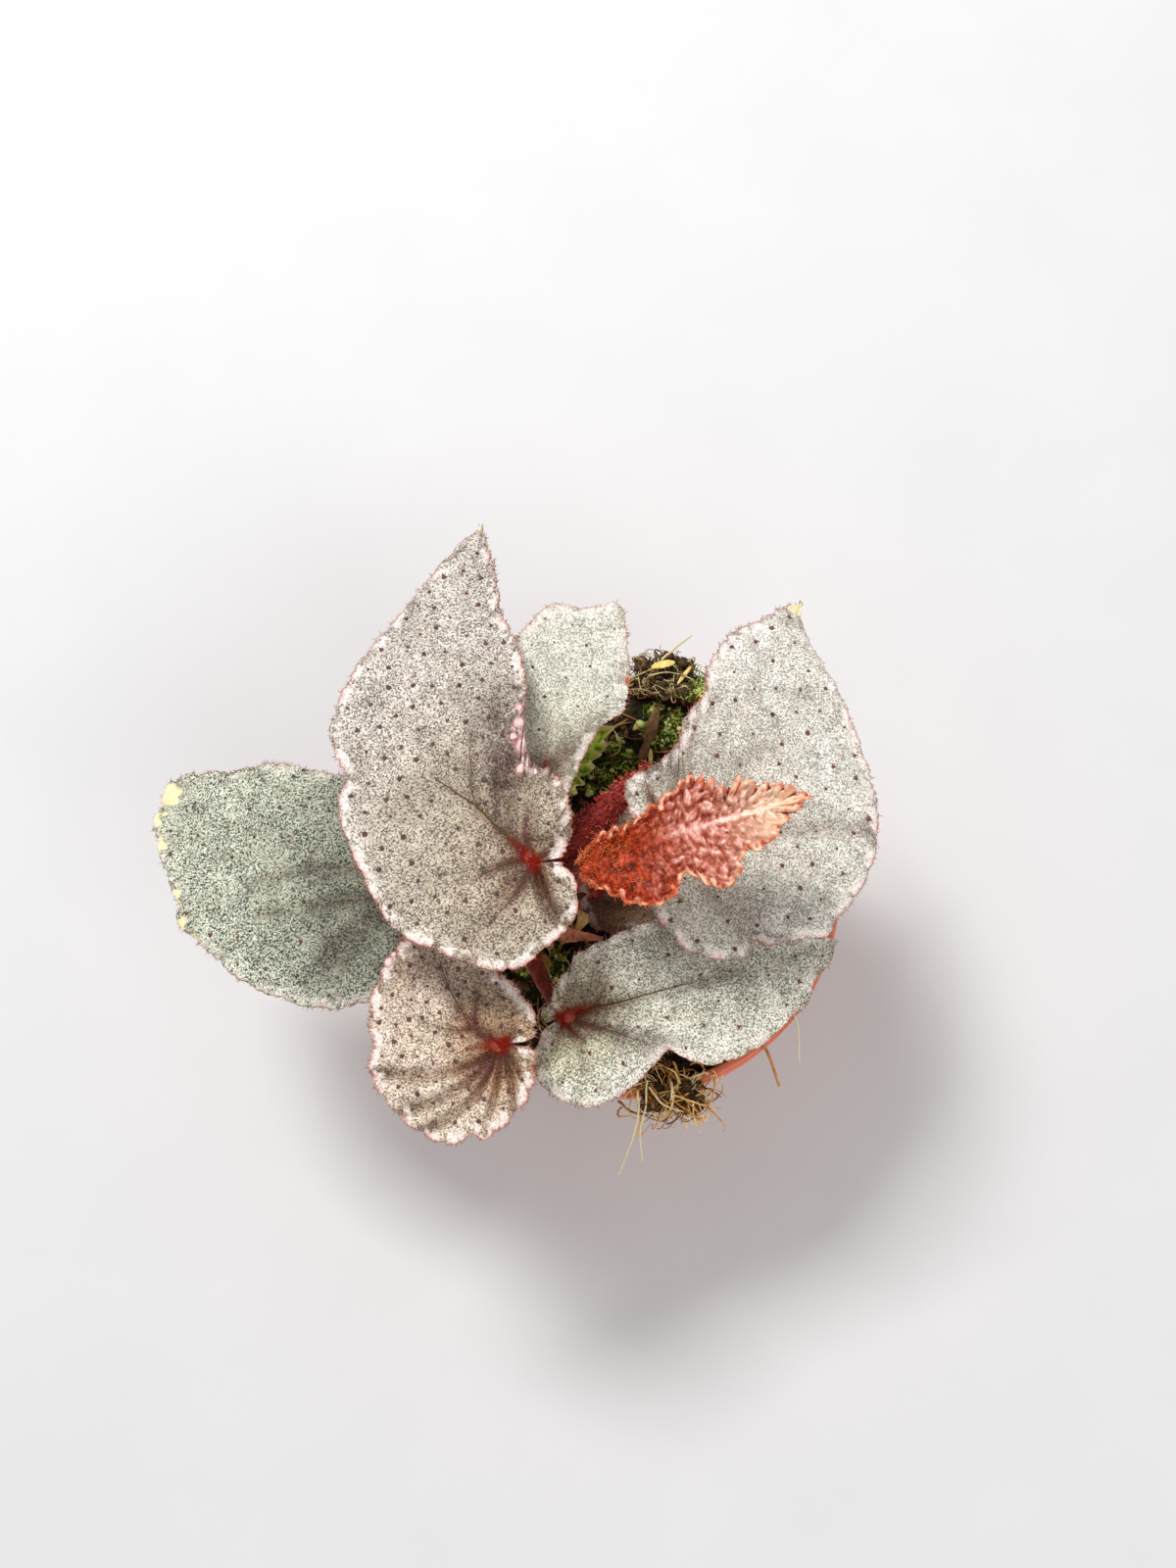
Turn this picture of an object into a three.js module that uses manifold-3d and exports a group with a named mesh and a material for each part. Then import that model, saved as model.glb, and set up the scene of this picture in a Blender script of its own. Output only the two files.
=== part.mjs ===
// A small begonia with silver, cordate leaves in a terracotta-coloured plastic nursery pot.
// Millimetres, +Z up. The origin is the middle of the pot's underside.
import * as THREE from "three";
import { mergeVertices } from "three/addons/utils/BufferGeometryUtils.js";
import Module from "manifold-3d";

const wasm = await Module();
wasm.setup();

// Driving dimensions of the pot and its filling
const POT_HEIGHT = 60;
const POT_TOP_RADIUS = 37.5;
const POT_BASE_RADIUS = 26;
const POT_WALL = 1.1;
const POT_FLOOR = 1.4;
const LIP_HEIGHT = 6;
const LIP_STEP = 1.4;
const LIP_THICKNESS = 2;
const LIP_ROUND = 0.5;
const FOOT_ROUND = 1;
const POT_SIDES = 40;
const DRAIN_HOLES = 6;
const DRAIN_RADIUS = 3;
const DRAIN_RING = 17;
const DRAIN_SIDES = 12;
const GAP = 0.35;
const SEAT_GAP = 0.45;
const SOIL_EDGE_HEIGHT = 56.5;
const SOIL_HEAP = 3.5;
const SOIL_BUMP = 0.9;

// Driving dimensions of the plant
const BLADE_THICKNESS = 0.8;
const CURL_SPAN = 30;
const TOOTH_DEPTH = 0.7;
const RING_PLACES = [0.36, 0.68, 0.88, 1];
const HUB_REACH = 0.9;
const HUB_LAG = 0.05;
const RHIZOME_MIDDLE = [-17, -4, 60];
const RHIZOME_HEADING = 29;
const RHIZOME_HALF_LENGTH = 12;
const RHIZOME_HALF_WIDTH = 5.4;
const RHIZOME_HALF_HEIGHT = 4.2;
const SOCKET_FLOOR = 60.8;
const SOCKET_TOP = 70;
const SOCKET_SIDES = 10;
const SOCKET_CLEARANCE = 0.55;

const MATERIALS = {
  pot: paint(0xdc6e50, 0.5),
  soil: paint(0x3b3213, 0.95),
  rhizome: paint(0x6b3a22, 0.8),
  silver: paint(0xc9c5b6, 0.55),
  brownSilver: paint(0xbea88e, 0.6),
  greenSilver: paint(0xacae9d, 0.55),
  young: paint(0xcc6a50, 0.5),
  stalk: paint(0x7b3524, 0.6),
  stipule: paint(0xc98a6a, 0.6),
  moss: paint(0x7f9a3a, 0.8),
  fibre: paint(0xb98748, 0.85),
  bark: paint(0x7a5a3a, 0.9),
};

// Each leaf lies over a plan of its own: u runs from the stalk's seat towards the tip, at the
// compass heading given in degrees from +X, and v runs to its left. The outline goes from the
// tip round each side to the sinus at the stalk. slope and curl shape the height over the plan,
// a crease is a trough along a line, and wave is the height and the number of its waves.
const LEAVES = {
  top: {
    seat: [-15, -5, 104],
    heading: 99,
    slope: [-0.06, 0.03],
    curl: [-3, -3],
    midrib: [[0, 0], [10, 6.5], [25, 8], [42, 5], [61.5, 0]],
    left: [
      [61.5, 0], [54, 8], [45.5, 16], [37.5, 23], [28, 28.5], [23.5, 28.5], [19, 27], [14, 28.5],
      [2, 26], [-7, 22], [-11, 16.5], [-15, 9], [-15.5, 5], [-12, -1.5], [-10, -4.5], [-5, -6],
      [-2.4, -5.4], [-0.4, -4.4],
    ],
    right: [
      [61.5, 0], [52.5, -1], [43, -1.2], [37.5, -2.5], [30, -3.3], [24, -2], [18.5, -1.8],
      [16, -2.5], [13.5, -5], [10, -6.6], [4, -6.5], [1.5, -5.3], [0.1, -4.3],
    ],
    creases: [
      {
        line: [[2, 1], [7.4, 5], [10.6, 4.2], [12.8, 2.9], [14.8, 1.2], [17, -1.6]],
        depth: 2.4,
        width: 2.4,
      },
      { line: [[0, 0], [19, 27]], depth: 1.2, width: 3 },
    ],
    wave: [0.7, 9],
    spokes: 32,
    colour: "silver",
    stalk: { base: [-21.5, -4], via: [[-17.5, -5, 86]], radius: [1.7, 1.3] },
  },
  right: {
    seat: [6, 2, 89],
    heading: 60,
    slope: [-0.08, 0.07],
    curl: [-3, -2.5],
    midrib: [[0, 0], [12, -3], [28, -5], [40, -2], [50, 1]],
    left: [
      [50, 1], [47.5, 3], [42.5, 6], [36.5, 8.7], [29.5, 9], [24, 7], [20, 8], [15, 6.8],
      [9.5, 8], [5, 10.5], [2, 9.3], [-0.6, 6.5],
    ],
    right: [
      [50, 1], [47, -0.5], [43.5, -4], [37.5, -12.5], [30.5, -20.7], [24.5, -26], [20, -28.7],
      [14.5, -30.6], [8, -31], [3, -30], [-1, -29.7], [-3.2, -26.6], [-7, -21.8], [-7, -20.2],
      [-9, -20.5], [-11.5, -19.2], [-14, -14], [-14.4, -10.5], [-12.5, -5], [-10, 1], [-6, 4.5],
      [-1.8, 5],
    ],
    creases: [
      { line: [[3, 1], [17, 8]], depth: 1.8, width: 3 },
      { line: [[0, -3], [-7, -21]], depth: 1.4, width: 3 },
    ],
    wave: [0.6, 9],
    spokes: 30,
    colour: "silver",
    stalk: {
      base: [-12.3, -2.6],
      via: [[-12.8, -2.8, 73], [-8.5, -2, 81], [0, 0.4, 85.5]],
      radius: [1.5, 1.2],
    },
  },
  front: {
    seat: [-11, -26, 83],
    heading: 18,
    slope: [-0.08, 0.03],
    curl: [-2, -3],
    midrib: [[0, 0], [12, 2], [25, 1.5], [36, 0], [47.5, -1.5]],
    left: [
      [47.5, -1.5], [40, 5], [32, 9], [24, 11], [18.5, 10.8], [11, 10], [7.5, 9.5], [4.5, 8.7],
      [3, 7], [0.5, 5.5], [-1, 3], [-3, 1.8], [-3, -0.2],
    ],
    right: [
      [47.5, -1.5], [44.5, -5], [41, -7], [40, -9], [35, -11.5], [29.5, -14], [24, -14.7],
      [20.5, -14.5], [18, -13.4], [16.3, -11.7], [14.7, -10.3], [10.5, -12.5], [6.5, -14.3],
      [3, -15.1], [-0.5, -15], [-3.2, -13.5], [-6, -10.5], [-6.9, -7.8], [-6.5, -5], [-5, -2.5],
      [-3.4, -0.9],
    ],
    creases: [{ line: [[0, 0], [15, -10.5]], depth: 2, width: 2.5 }],
    wave: [0.5, 7],
    spokes: 26,
    colour: "greenSilver",
    stalk: { base: [-18.8, -8.2], via: [[-14.5, -19, 75]], radius: [1.5, 1.2] },
  },
  low_left: {
    seat: [-20, -31, 91],
    heading: 187,
    slope: [-0.1, 0],
    curl: [-2, -2],
    midrib: [[0, 0], [6, 0], [11, 0], [16, 0.3], [21.7, 1]],
    left: [
      [21.7, 1], [20.3, 4.5], [18.4, 7.5], [15.8, 10.7], [12.2, 13.3], [9.8, 14.3], [6, 13.4],
      [4.4, 14.1], [1.5, 12.7], [-1.1, 10.6], [-3.1, 8.6], [-4, 6.9], [-4.2, 4.3], [-3, 1.7],
    ],
    right: [
      [21.7, 1], [20.7, -2.6], [20.8, -7.3], [19.5, -11.4], [18, -14], [14, -18.5], [9, -19],
      [4, -16], [0, -12.5], [-2.8, -9.1], [-4.8, -6.1], [-5.7, -2.8], [-5.2, -0.6], [-3.4, 0.7],
    ],
    creases: [],
    wave: [0.5, 11],
    spokes: 20,
    colour: "brownSilver",
    stalk: { base: [-22.4, -10.2], via: [[-22, -24, 80]], radius: [1.4, 1.1] },
  },
  left: {
    seat: [-34, -4, 84],
    heading: 160,
    slope: [-0.2, 0],
    curl: [-2, -2],
    midrib: [[0, 0], [12, 3], [25, 4], [38, 1], [49.5, -3.5]],
    left: [
      [49.5, -3.5], [49.2, 4.2], [47.3, 7], [43, 12], [39, 16], [37.7, 19], [30, 22.2],
      [22.3, 25], [15, 25.5], [6.6, 24.6], [0, 21], [-5, 16], [-7.5, 10], [-6.5, 4], [-3, 1],
    ],
    right: [
      [49.5, -3.5], [46, -5.6], [39.7, -8.1], [32, -11.4], [24, -12.5], [15, -13.5], [6, -13],
      [-1, -10.5], [-5, -6.5], [-5.5, -3], [-2.8, -0.8],
    ],
    creases: [],
    wave: [0.7, 8],
    spokes: 26,
    colour: "greenSilver",
    stalk: { base: [-25, -7], via: [[-31, -5.5, 77]], radius: [1.4, 1.2] },
  },
  back: {
    seat: [-14.5, 9.5, 92],
    heading: 67,
    slope: [-0.05, 0],
    curl: [-2, -2],
    midrib: [[0, 0], [9, 2], [18, 3], [27, 1.5], [34.2, -0.3]],
    left: [
      [34.2, -0.3], [34.5, 2], [32.5, 4.5], [31, 7.8], [30, 11], [26.5, 13], [22, 14], [15, 14.5],
      [8, 13], [1, 10], [-3.5, 6.5], [-4.5, 3], [-2.5, 0.8],
    ],
    right: [
      [34.2, -0.3], [31, -2], [26.6, -4.3], [23, -5.4], [20, -6.9], [17.4, -7.3], [15.6, -6.4],
      [13.8, -5.2], [9.5, -4.5], [5.5, -4.5], [1.5, -4.6], [-1.5, -4], [-3, -2.2], [-2.2, -0.7],
    ],
    creases: [],
    wave: [0.5, 8],
    spokes: 20,
    colour: "silver",
    stalk: { base: [-18, -1.3], via: [[-16, 5.5, 82]], radius: [1.3, 1.1] },
  },
  young: {
    seat: [-8, -5, 100],
    heading: 14,
    slope: [0.5, 0],
    curl: [-4, 0],
    midrib: [[0, 0], [9, 0], [18, 0], [27, 0.3], [35.5, 0.5]],
    left: [
      [35.5, 0.5], [33, 2.3], [30, 3.7], [27.5, 4.3], [26, 6], [23.5, 4.7], [21.5, 6.8],
      [19, 8.2], [16, 7], [13.5, 6.2], [10, 4.6], [7.5, 4], [4.5, 4.2], [2, 2.8], [-0.4, 1.2],
    ],
    right: [
      [35.5, 0.5], [33, -1.2], [30.2, -3], [28.5, -4.6], [25.8, -5.7], [23.6, -5.6],
      [22.5, -8], [19.5, -9.8], [17.5, -9], [15.8, -6.6], [14, -6.2], [13.3, -8], [10.3, -9.3],
      [7.3, -8.6], [4.5, -6.8], [1.8, -4.2], [-0.4, -1.2],
    ],
    creases: [{ line: [[0, 0], [40, 0]], depth: 2, width: 4 }],
    wave: [0.9, 14],
    tooth: 1.3,
    spokes: 30,
    colour: "young",
    stalk: { base: [-15, -6], via: [[-14, -6.8, 80]], radius: [1.3, 1.1] },
  },
  under: {
    seat: [-7, -4.5, 73],
    heading: 15,
    slope: [-0.05, 0],
    curl: [-2, -2],
    midrib: [[0, 0], [7, 0], [14, 0], [21, 0], [27, 0]],
    left: [
      [27, 0], [23, 7], [15, 12.5], [7, 14.5], [2, 12.5], [0, 9], [-1, 4.5], [-1.5, 0.8],
    ],
    right: [[27, 0], [23, -6], [15, -8.5], [7, -8.5], [1, -7], [-1.5, -4.5], [-1.7, -0.8]],
    creases: [],
    wave: [0.5, 8],
    spokes: 12,
    colour: "greenSilver",
    stalk: { base: [-8.7, -0.6], via: [], radius: [1.1, 1] },
  },
};

// A leaf that has not unfolded yet: a hairy spindle on its own stalk
const FOLDED_LEAF = {
  base: [-14.3, 1.2],
  via: [[-14, 1.6, 70], [-10.4, 2.2, 79.5], [-5.3, 6.5, 82.3], [0, 11.5, 84], [3.5, 15, 84.6]],
  radii: [1.5, 1.4, 1.6, 2.1, 2.2, 1.8, 0.6],
};

// Papery stipules beside the stalks: a line of places, and the half width at each
const STIPULES = [
  { foot: [-16.8, -13], via: [[-15, -15.6, 64], [-12.8, -19, 68.5]], widths: [1.6, 2.4, 0.4] },
  { foot: [-11.6, -8.8], via: [[-10.2, -9.9, 65], [-8.4, -11.6, 68.5]], widths: [1.4, 2.2, 0.4] },
  {
    foot: [-14.4, -10.9],
    via: [[-12.6, -10.2, 70], [-9.5, -10.8, 75], [-3.5, -12.3, 77.6]],
    widths: [1.5, 1.8, 1.5, 0.4],
  },
];
const STIPULE_THICKNESS = 0.7;

// Clumps of coir and root that bulge over the rim: the middle, and the half sizes
const CLUMPS = {
  front: {
    middle: [7, -36.4, 63.2],
    size: [9, 3.6, 2.4],
    turn: 12,
    strands: 20,
    seed: 5,
    long: [
      [[1, -37, 64.5], [0.5, -40.5, 64], [0.3, -45, 60.5], [-1.3, -50.5, 56]],
      [[3, -37, 64.5], [2.6, -41, 63.5], [2.2, -45, 60], [2.4, -48, 56]],
    ],
  },
  back: {
    middle: [6.3, 36.6, 63],
    size: [6.5, 3.6, 2.3],
    turn: -8,
    strands: 14,
    seed: 6,
    long: [[[6, 39, 65], [7.5, 41, 66.5], [9.5, 42.8, 66], [12, 44.3, 65]]],
  },
};

const STRAND_MARGIN = 1.3;
const STRAND_RADII = [0.45, 0.42, 0.3];
const ROOT_RADII = [0.45, 0.4, 0.3];

// Loose roots and a twig that lie on the soil and pass over the rim
const LOOSE = {
  twig: { path: [[18, -22, 59], [23.3, -28.8, 61], [26, -35.5, 58.5]], radius: 0.55 },
  pale_root: { path: [[23, -18, 59], [28.6, -23.6, 60.8], [29.6, -31.5, 58]], radius: 0.4 },
};

// A small lobe of liverwort on the soil, shaped in the same way as a leaf
const LIVERWORT = {
  seat: [-13, 20.5, 60.2],
  heading: 0,
  slope: [0.18, 0],
  curl: [10, 2],
  midrib: [[0, 0], [4, 0], [9.5, 0]],
  left: [
    [9.5, 0], [9, 2.5], [8.2, 5], [6.5, 7], [3.5, 8], [0.5, 7], [-2.5, 5], [-4, 1.5],
  ],
  right: [
    [9.5, 0], [8.5, -2], [7.5, -4], [5, -5.6], [2, -6.6], [-1.5, -5.6], [-4, -3], [-4.5, -0.3],
  ],
  creases: [],
  wave: [0.5, 8],
  tooth: 1.3,
  spokes: 14,
};

const BARK_CHIP = { from: [2.2, 20, 59.7], to: [5.8, 32, 59.2], width: 2.4, thickness: 1 };

function paint(colour, roughness) {
  return new THREE.MeshStandardMaterial({ color: colour, roughness, metalness: 0 });
}

function seededRandom(seed) {
  let state = seed;
  return () => {
    state = (state * 1664525 + 1013904223) % 4294967296;
    return state / 4294967296;
  };
}

function smooth(x) {
  const t = Math.min(Math.max(x, 0), 1);
  return t * t * (3 - 2 * t);
}

function vector(point) {
  return new THREE.Vector3(point[0], point[1], point[2] ?? 0);
}

function curveThrough(points) {
  return new THREE.CatmullRomCurve3(points.map(vector), false, "centripetal");
}

function geometryOf(vertices, faces) {
  const geometry = new THREE.BufferGeometry();
  geometry.setAttribute("position", new THREE.Float32BufferAttribute(vertices.flat(), 3));
  geometry.setIndex(faces.flat());
  return geometry;
}

// Booleans, by way of merged, closed meshes
function solidOf(geometry) {
  const bare = geometry.clone();
  bare.deleteAttribute("normal");
  bare.deleteAttribute("uv");
  const merged = mergeVertices(bare, 1e-4);
  return new wasm.Manifold(
    new wasm.Mesh({
      numProp: 3,
      vertProperties: new Float32Array(merged.attributes.position.array),
      triVerts: new Uint32Array(merged.index.array),
    }),
  );
}

function meshGeometryOf(solid) {
  const { vertProperties, triVerts } = solid.getMesh();
  const geometry = new THREE.BufferGeometry();
  geometry.setAttribute("position", new THREE.BufferAttribute(vertProperties, 3));
  geometry.setIndex(new THREE.BufferAttribute(triVerts, 1));
  return geometry;
}

// A closed skin over rings of points that all have the same count, with a fan at each end
function loft(rings) {
  const sides = rings[0].length;
  const vertices = rings.flat().map((point) => point.toArray());
  const faces = [];
  for (let ring = 0; ring + 1 < rings.length; ring++) {
    for (let side = 0; side < sides; side++) {
      const next = (side + 1) % sides;
      const a = ring * sides + side;
      const b = ring * sides + next;
      faces.push([a, b, b + sides], [a, b + sides, a + sides]);
    }
  }
  for (const [ring, forward] of [[0, false], [rings.length - 1, true]]) {
    const middle = new THREE.Vector3();
    rings[ring].forEach((point) => middle.addScaledVector(point, 1 / sides));
    const hub = vertices.push(middle.toArray()) - 1;
    for (let side = 0; side < sides; side++) {
      const a = ring * sides + side;
      const b = ring * sides + ((side + 1) % sides);
      faces.push(forward ? [hub, a, b] : [hub, b, a]);
    }
  }
  return geometryOf(vertices, faces);
}

// A round rod whose radius changes along a curve
function rod(points, radii, sides, steps) {
  const curve = curveThrough(points);
  const frames = curve.computeFrenetFrames(steps, false);
  const rings = [];
  for (let step = 0; step <= steps; step++) {
    const along = (step / steps) * (radii.length - 1);
    const before = Math.min(Math.floor(along), radii.length - 2);
    const radius = THREE.MathUtils.lerp(radii[before], radii[before + 1], along - before);
    const middle = curve.getPointAt(step / steps);
    const ring = [];
    for (let side = 0; side < sides; side++) {
      const angle = (side / sides) * 2 * Math.PI;
      ring.push(
        middle
          .clone()
          .addScaledVector(frames.normals[step], radius * Math.cos(angle))
          .addScaledVector(frames.binormals[step], radius * Math.sin(angle)),
      );
    }
    rings.push(ring);
  }
  return loft(rings);
}

// How far a place of the plan is from a line, and its place along it from 0 to 1
function beside(u, v, line) {
  let nearest = { away: Infinity, along: 0 };
  for (let start = 0; start + 1 < line.length; start++) {
    const [fromU, fromV] = line[start];
    const du = line[start + 1][0] - fromU;
    const dv = line[start + 1][1] - fromV;
    const part = ((u - fromU) * du + (v - fromV) * dv) / (du * du + dv * dv);
    const near = THREE.MathUtils.clamp(part, 0, 1);
    const away = Math.hypot(u - fromU - near * du, v - fromV - near * dv);
    if (away < nearest.away) nearest = { away, along: (start + near) / (line.length - 1) };
  }
  return nearest;
}

function leafHeight(leaf, u, v) {
  let height = leaf.slope[0] * u + leaf.slope[1] * v;
  height += leaf.curl[0] * (u / CURL_SPAN) ** 2 + leaf.curl[1] * (v / CURL_SPAN) ** 2;
  for (const { line, depth, width } of leaf.creases) {
    const { away, along } = beside(u, v, line);
    height -= depth * smooth(along) * Math.exp(-((away / width) ** 2));
  }
  return height;
}

function leafPoint(leaf, u, v, lift) {
  const turn = THREE.MathUtils.degToRad(leaf.heading);
  return new THREE.Vector3(
    leaf.seat[0] + u * Math.cos(turn) - v * Math.sin(turn),
    leaf.seat[1] + u * Math.sin(turn) + v * Math.cos(turn),
    leaf.seat[2] + leafHeight(leaf, u, v) + lift,
  );
}

function leafNormal(leaf, u, v) {
  const step = 0.5;
  const here = leafPoint(leaf, u, v, 0);
  const ahead = leafPoint(leaf, u + step, v, 0).sub(here);
  const aside = leafPoint(leaf, u, v + step, 0).sub(here);
  return ahead.cross(aside).normalize();
}

// Spokes fan out from the midrib to a toothed outline; both faces are split alike
function bladeGeometry(leaf) {
  const { spokes, tooth = TOOTH_DEPTH } = leaf;
  const leftSide = curveThrough([...leaf.left].reverse()).getSpacedPoints(spokes);
  const rightSide = curveThrough(leaf.right).getSpacedPoints(spokes);
  const outline = [...leftSide, ...rightSide.slice(1)];
  const midrib = curveThrough(leaf.midrib);
  const last = outline.length - 1;
  const plan = [[0, 0, 0]];
  const hubs = [];
  const rows = [];
  const tip = leaf.midrib.at(-1)[0];
  let reach = 0;
  for (let spoke = 0; spoke <= spokes; spoke++) {
    const abreast = (outline[spoke].x + outline[last - spoke].x) / 2;
    reach = Math.max(reach, (HUB_REACH * (abreast - HUB_LAG * tip)) / tip);
    const hub = midrib.getPointAt(reach);
    hubs.push(reach > 0 ? plan.push([hub.x, hub.y, 0]) - 1 : 0);
  }
  const hubOf = (spoke) => hubs[Math.min(spoke, last - spoke)];
  outline.forEach((edge, spoke) => {
    const [hubU, hubV] = plan[hubOf(spoke)];
    const length = Math.hypot(edge.x - hubU, edge.y - hubV);
    const isNotch = spoke % 2 !== spokes % 2;
    const fade = smooth((length - 2 * tooth) / (4 * tooth));
    const reach = isNotch ? 1 - (fade * tooth) / length : 1;
    const phase = (spoke / last) * 2 * Math.PI * leaf.wave[1];
    rows.push(
      RING_PLACES.map((place) => {
        const t = place * reach;
        const lift = leaf.wave[0] * Math.sin(phase) * place ** 3;
        return plan.push([hubU + (edge.x - hubU) * t, hubV + (edge.y - hubV) * t, lift]) - 1;
      }),
    );
  });
  const upper = plan.map(([u, v, lift]) =>
    leafPoint(leaf, u, v, lift).addScaledVector(leafNormal(leaf, u, v), BLADE_THICKNESS / 2),
  );
  const lower = plan.map(([u, v, lift]) =>
    leafPoint(leaf, u, v, lift).addScaledVector(leafNormal(leaf, u, v), -BLADE_THICKNESS / 2),
  );
  const shift = plan.length;
  const faces = [];
  const addBoth = (a, b, c) => faces.push([a, b, c], [a + shift, c + shift, b + shift]);
  for (let spoke = 0; spoke < last; spoke++) {
    const here = [hubOf(spoke), ...rows[spoke]];
    const next = [hubOf(spoke + 1), ...rows[spoke + 1]];
    for (let ring = 0; ring + 1 < here.length; ring++) {
      const [a, b, c, d] = [here[ring], next[ring], next[ring + 1], here[ring + 1]];
      if (a === b) {
        addBoth(a, c, d);
      } else if (spoke < spokes) {
        addBoth(a, b, d);
        addBoth(b, c, d);
      } else {
        addBoth(a, b, c);
        addBoth(a, c, d);
      }
    }
  }
  const border = [0, ...rows[0], ...rows.slice(1, last).map((row) => row.at(-1))];
  border.push(...[...rows[last]].reverse());
  border.forEach((a, place) => {
    const b = border[(place + 1) % border.length];
    faces.push([a, b, b + shift], [a, b + shift, a + shift]);
  });
  const vertices = [...upper, ...lower].map((point) => point.toArray());
  return geometryOf(vertices, faces);
}

// Where a stalk ends, just under its blade
function stalkPoints(leaf) {
  const { base, via } = leaf.stalk;
  const seatNormal = leafNormal(leaf, 1, 0);
  const drop = BLADE_THICKNESS / 2 + SEAT_GAP;
  const end = leafPoint(leaf, 1, 0, 0).addScaledVector(seatNormal, -drop);
  const approach = end.clone().addScaledVector(seatNormal, -2);
  return [
    [...base, SOCKET_FLOOR + GAP],
    [...base, SOCKET_FLOOR + 5],
    ...via,
    approach.toArray(),
    end.toArray(),
  ];
}

function rhizomeGeometry(margin) {
  const turn = THREE.MathUtils.degToRad(RHIZOME_HEADING);
  const rings = [];
  const steps = 12;
  const sides = 12;
  for (let step = 0; step <= steps; step++) {
    const place = THREE.MathUtils.lerp(-0.97, 0.97, step / steps);
    const swell = Math.sqrt(1 - Math.abs(place) ** 3) * (1 + 0.06 * (step % 2));
    const along = place * (RHIZOME_HALF_LENGTH + margin);
    const ring = [];
    for (let side = 0; side < sides; side++) {
      const angle = (side / sides) * 2 * Math.PI;
      const across = (RHIZOME_HALF_WIDTH * swell + margin) * Math.cos(angle);
      const up = (RHIZOME_HALF_HEIGHT * swell + margin) * Math.sin(angle);
      ring.push(
        new THREE.Vector3(
          RHIZOME_MIDDLE[0] + along * Math.cos(turn) - across * Math.sin(turn),
          RHIZOME_MIDDLE[1] + along * Math.sin(turn) + across * Math.cos(turn),
          RHIZOME_MIDDLE[2] + up,
        ),
      );
    }
    rings.push(ring);
  }
  return loft(rings);
}

function uprightRod(radius, sides, x, y, bottom, top) {
  const cylinder = new THREE.CylinderGeometry(radius, radius, top - bottom, sides);
  cylinder.rotateX(Math.PI / 2);
  return cylinder.translate(x, y, (top + bottom) / 2);
}

function potRadiusAt(height) {
  const lipFoot = POT_HEIGHT - LIP_HEIGHT;
  const shoulder = POT_TOP_RADIUS - LIP_STEP;
  return THREE.MathUtils.lerp(POT_BASE_RADIUS, shoulder, height / lipFoot);
}

function potGeometry() {
  const lipFoot = POT_HEIGHT - LIP_HEIGHT;
  const mouth = POT_TOP_RADIUS - LIP_THICKNESS;
  const profile = [
    [0, 0],
    [POT_BASE_RADIUS - FOOT_ROUND, 0],
    [POT_BASE_RADIUS, FOOT_ROUND],
    [potRadiusAt(lipFoot), lipFoot],
    [POT_TOP_RADIUS - LIP_ROUND, lipFoot],
    [POT_TOP_RADIUS, lipFoot + LIP_ROUND],
    [POT_TOP_RADIUS, POT_HEIGHT - LIP_ROUND],
    [POT_TOP_RADIUS - LIP_ROUND, POT_HEIGHT],
    [mouth + LIP_ROUND, POT_HEIGHT],
    [mouth, POT_HEIGHT - LIP_ROUND],
    [mouth, lipFoot + POT_WALL],
    [potRadiusAt(lipFoot) - POT_WALL, lipFoot],
    [potRadiusAt(POT_FLOOR) - POT_WALL, POT_FLOOR],
    [0, POT_FLOOR],
  ];
  const lathe = new THREE.LatheGeometry(
    profile.map(([radius, height]) => new THREE.Vector2(radius, height)),
    POT_SIDES,
  );
  let pot = solidOf(lathe.rotateX(Math.PI / 2));
  for (let hole = 0; hole < DRAIN_HOLES; hole++) {
    const angle = (hole / DRAIN_HOLES) * 2 * Math.PI;
    const x = DRAIN_RING * Math.cos(angle);
    const y = DRAIN_RING * Math.sin(angle);
    const bore = uprightRod(DRAIN_RADIUS, DRAIN_SIDES, x, y, -1, POT_FLOOR + 1);
    pot = pot.subtract(solidOf(bore));
  }
  return meshGeometryOf(pot);
}

function soilHeight(x, y) {
  const heap = 1 - (x * x + y * y) / POT_TOP_RADIUS ** 2;
  const lumps = Math.sin(0.9 * x + 0.4 * y) * Math.sin(0.8 * y - 0.5 * x + 1);
  const crumbs = Math.sin(1.7 * x - 1.1 * y + 2) * Math.cos(1.9 * y + 0.6 * x);
  return SOIL_EDGE_HEIGHT + SOIL_HEAP * heap + SOIL_BUMP * (0.6 * lumps + 0.4 * crumbs);
}

function soilGeometry() {
  const ringPlaces = [0.16, 0.33, 0.5, 0.66, 0.82, 1];
  const floorRadius = potRadiusAt(POT_FLOOR) - POT_WALL - GAP;
  const shoulderHeight = POT_HEIGHT - LIP_HEIGHT;
  const shoulderRadius = potRadiusAt(shoulderHeight) - POT_WALL - GAP;
  const ringAt = (radius, height) => {
    const ring = [];
    for (let side = 0; side < POT_SIDES; side++) {
      const angle = (side / POT_SIDES) * 2 * Math.PI;
      const x = radius * Math.sin(angle);
      const y = -radius * Math.cos(angle);
      ring.push(new THREE.Vector3(x, y, height ?? soilHeight(x, y)));
    }
    return ring;
  };
  const rings = [
    ringAt(floorRadius, POT_FLOOR + GAP),
    ringAt(shoulderRadius, shoulderHeight - 0.2),
    ...ringPlaces.reverse().map((place) => ringAt(place * (shoulderRadius - 0.2))),
  ];
  return loft(rings);
}

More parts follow.
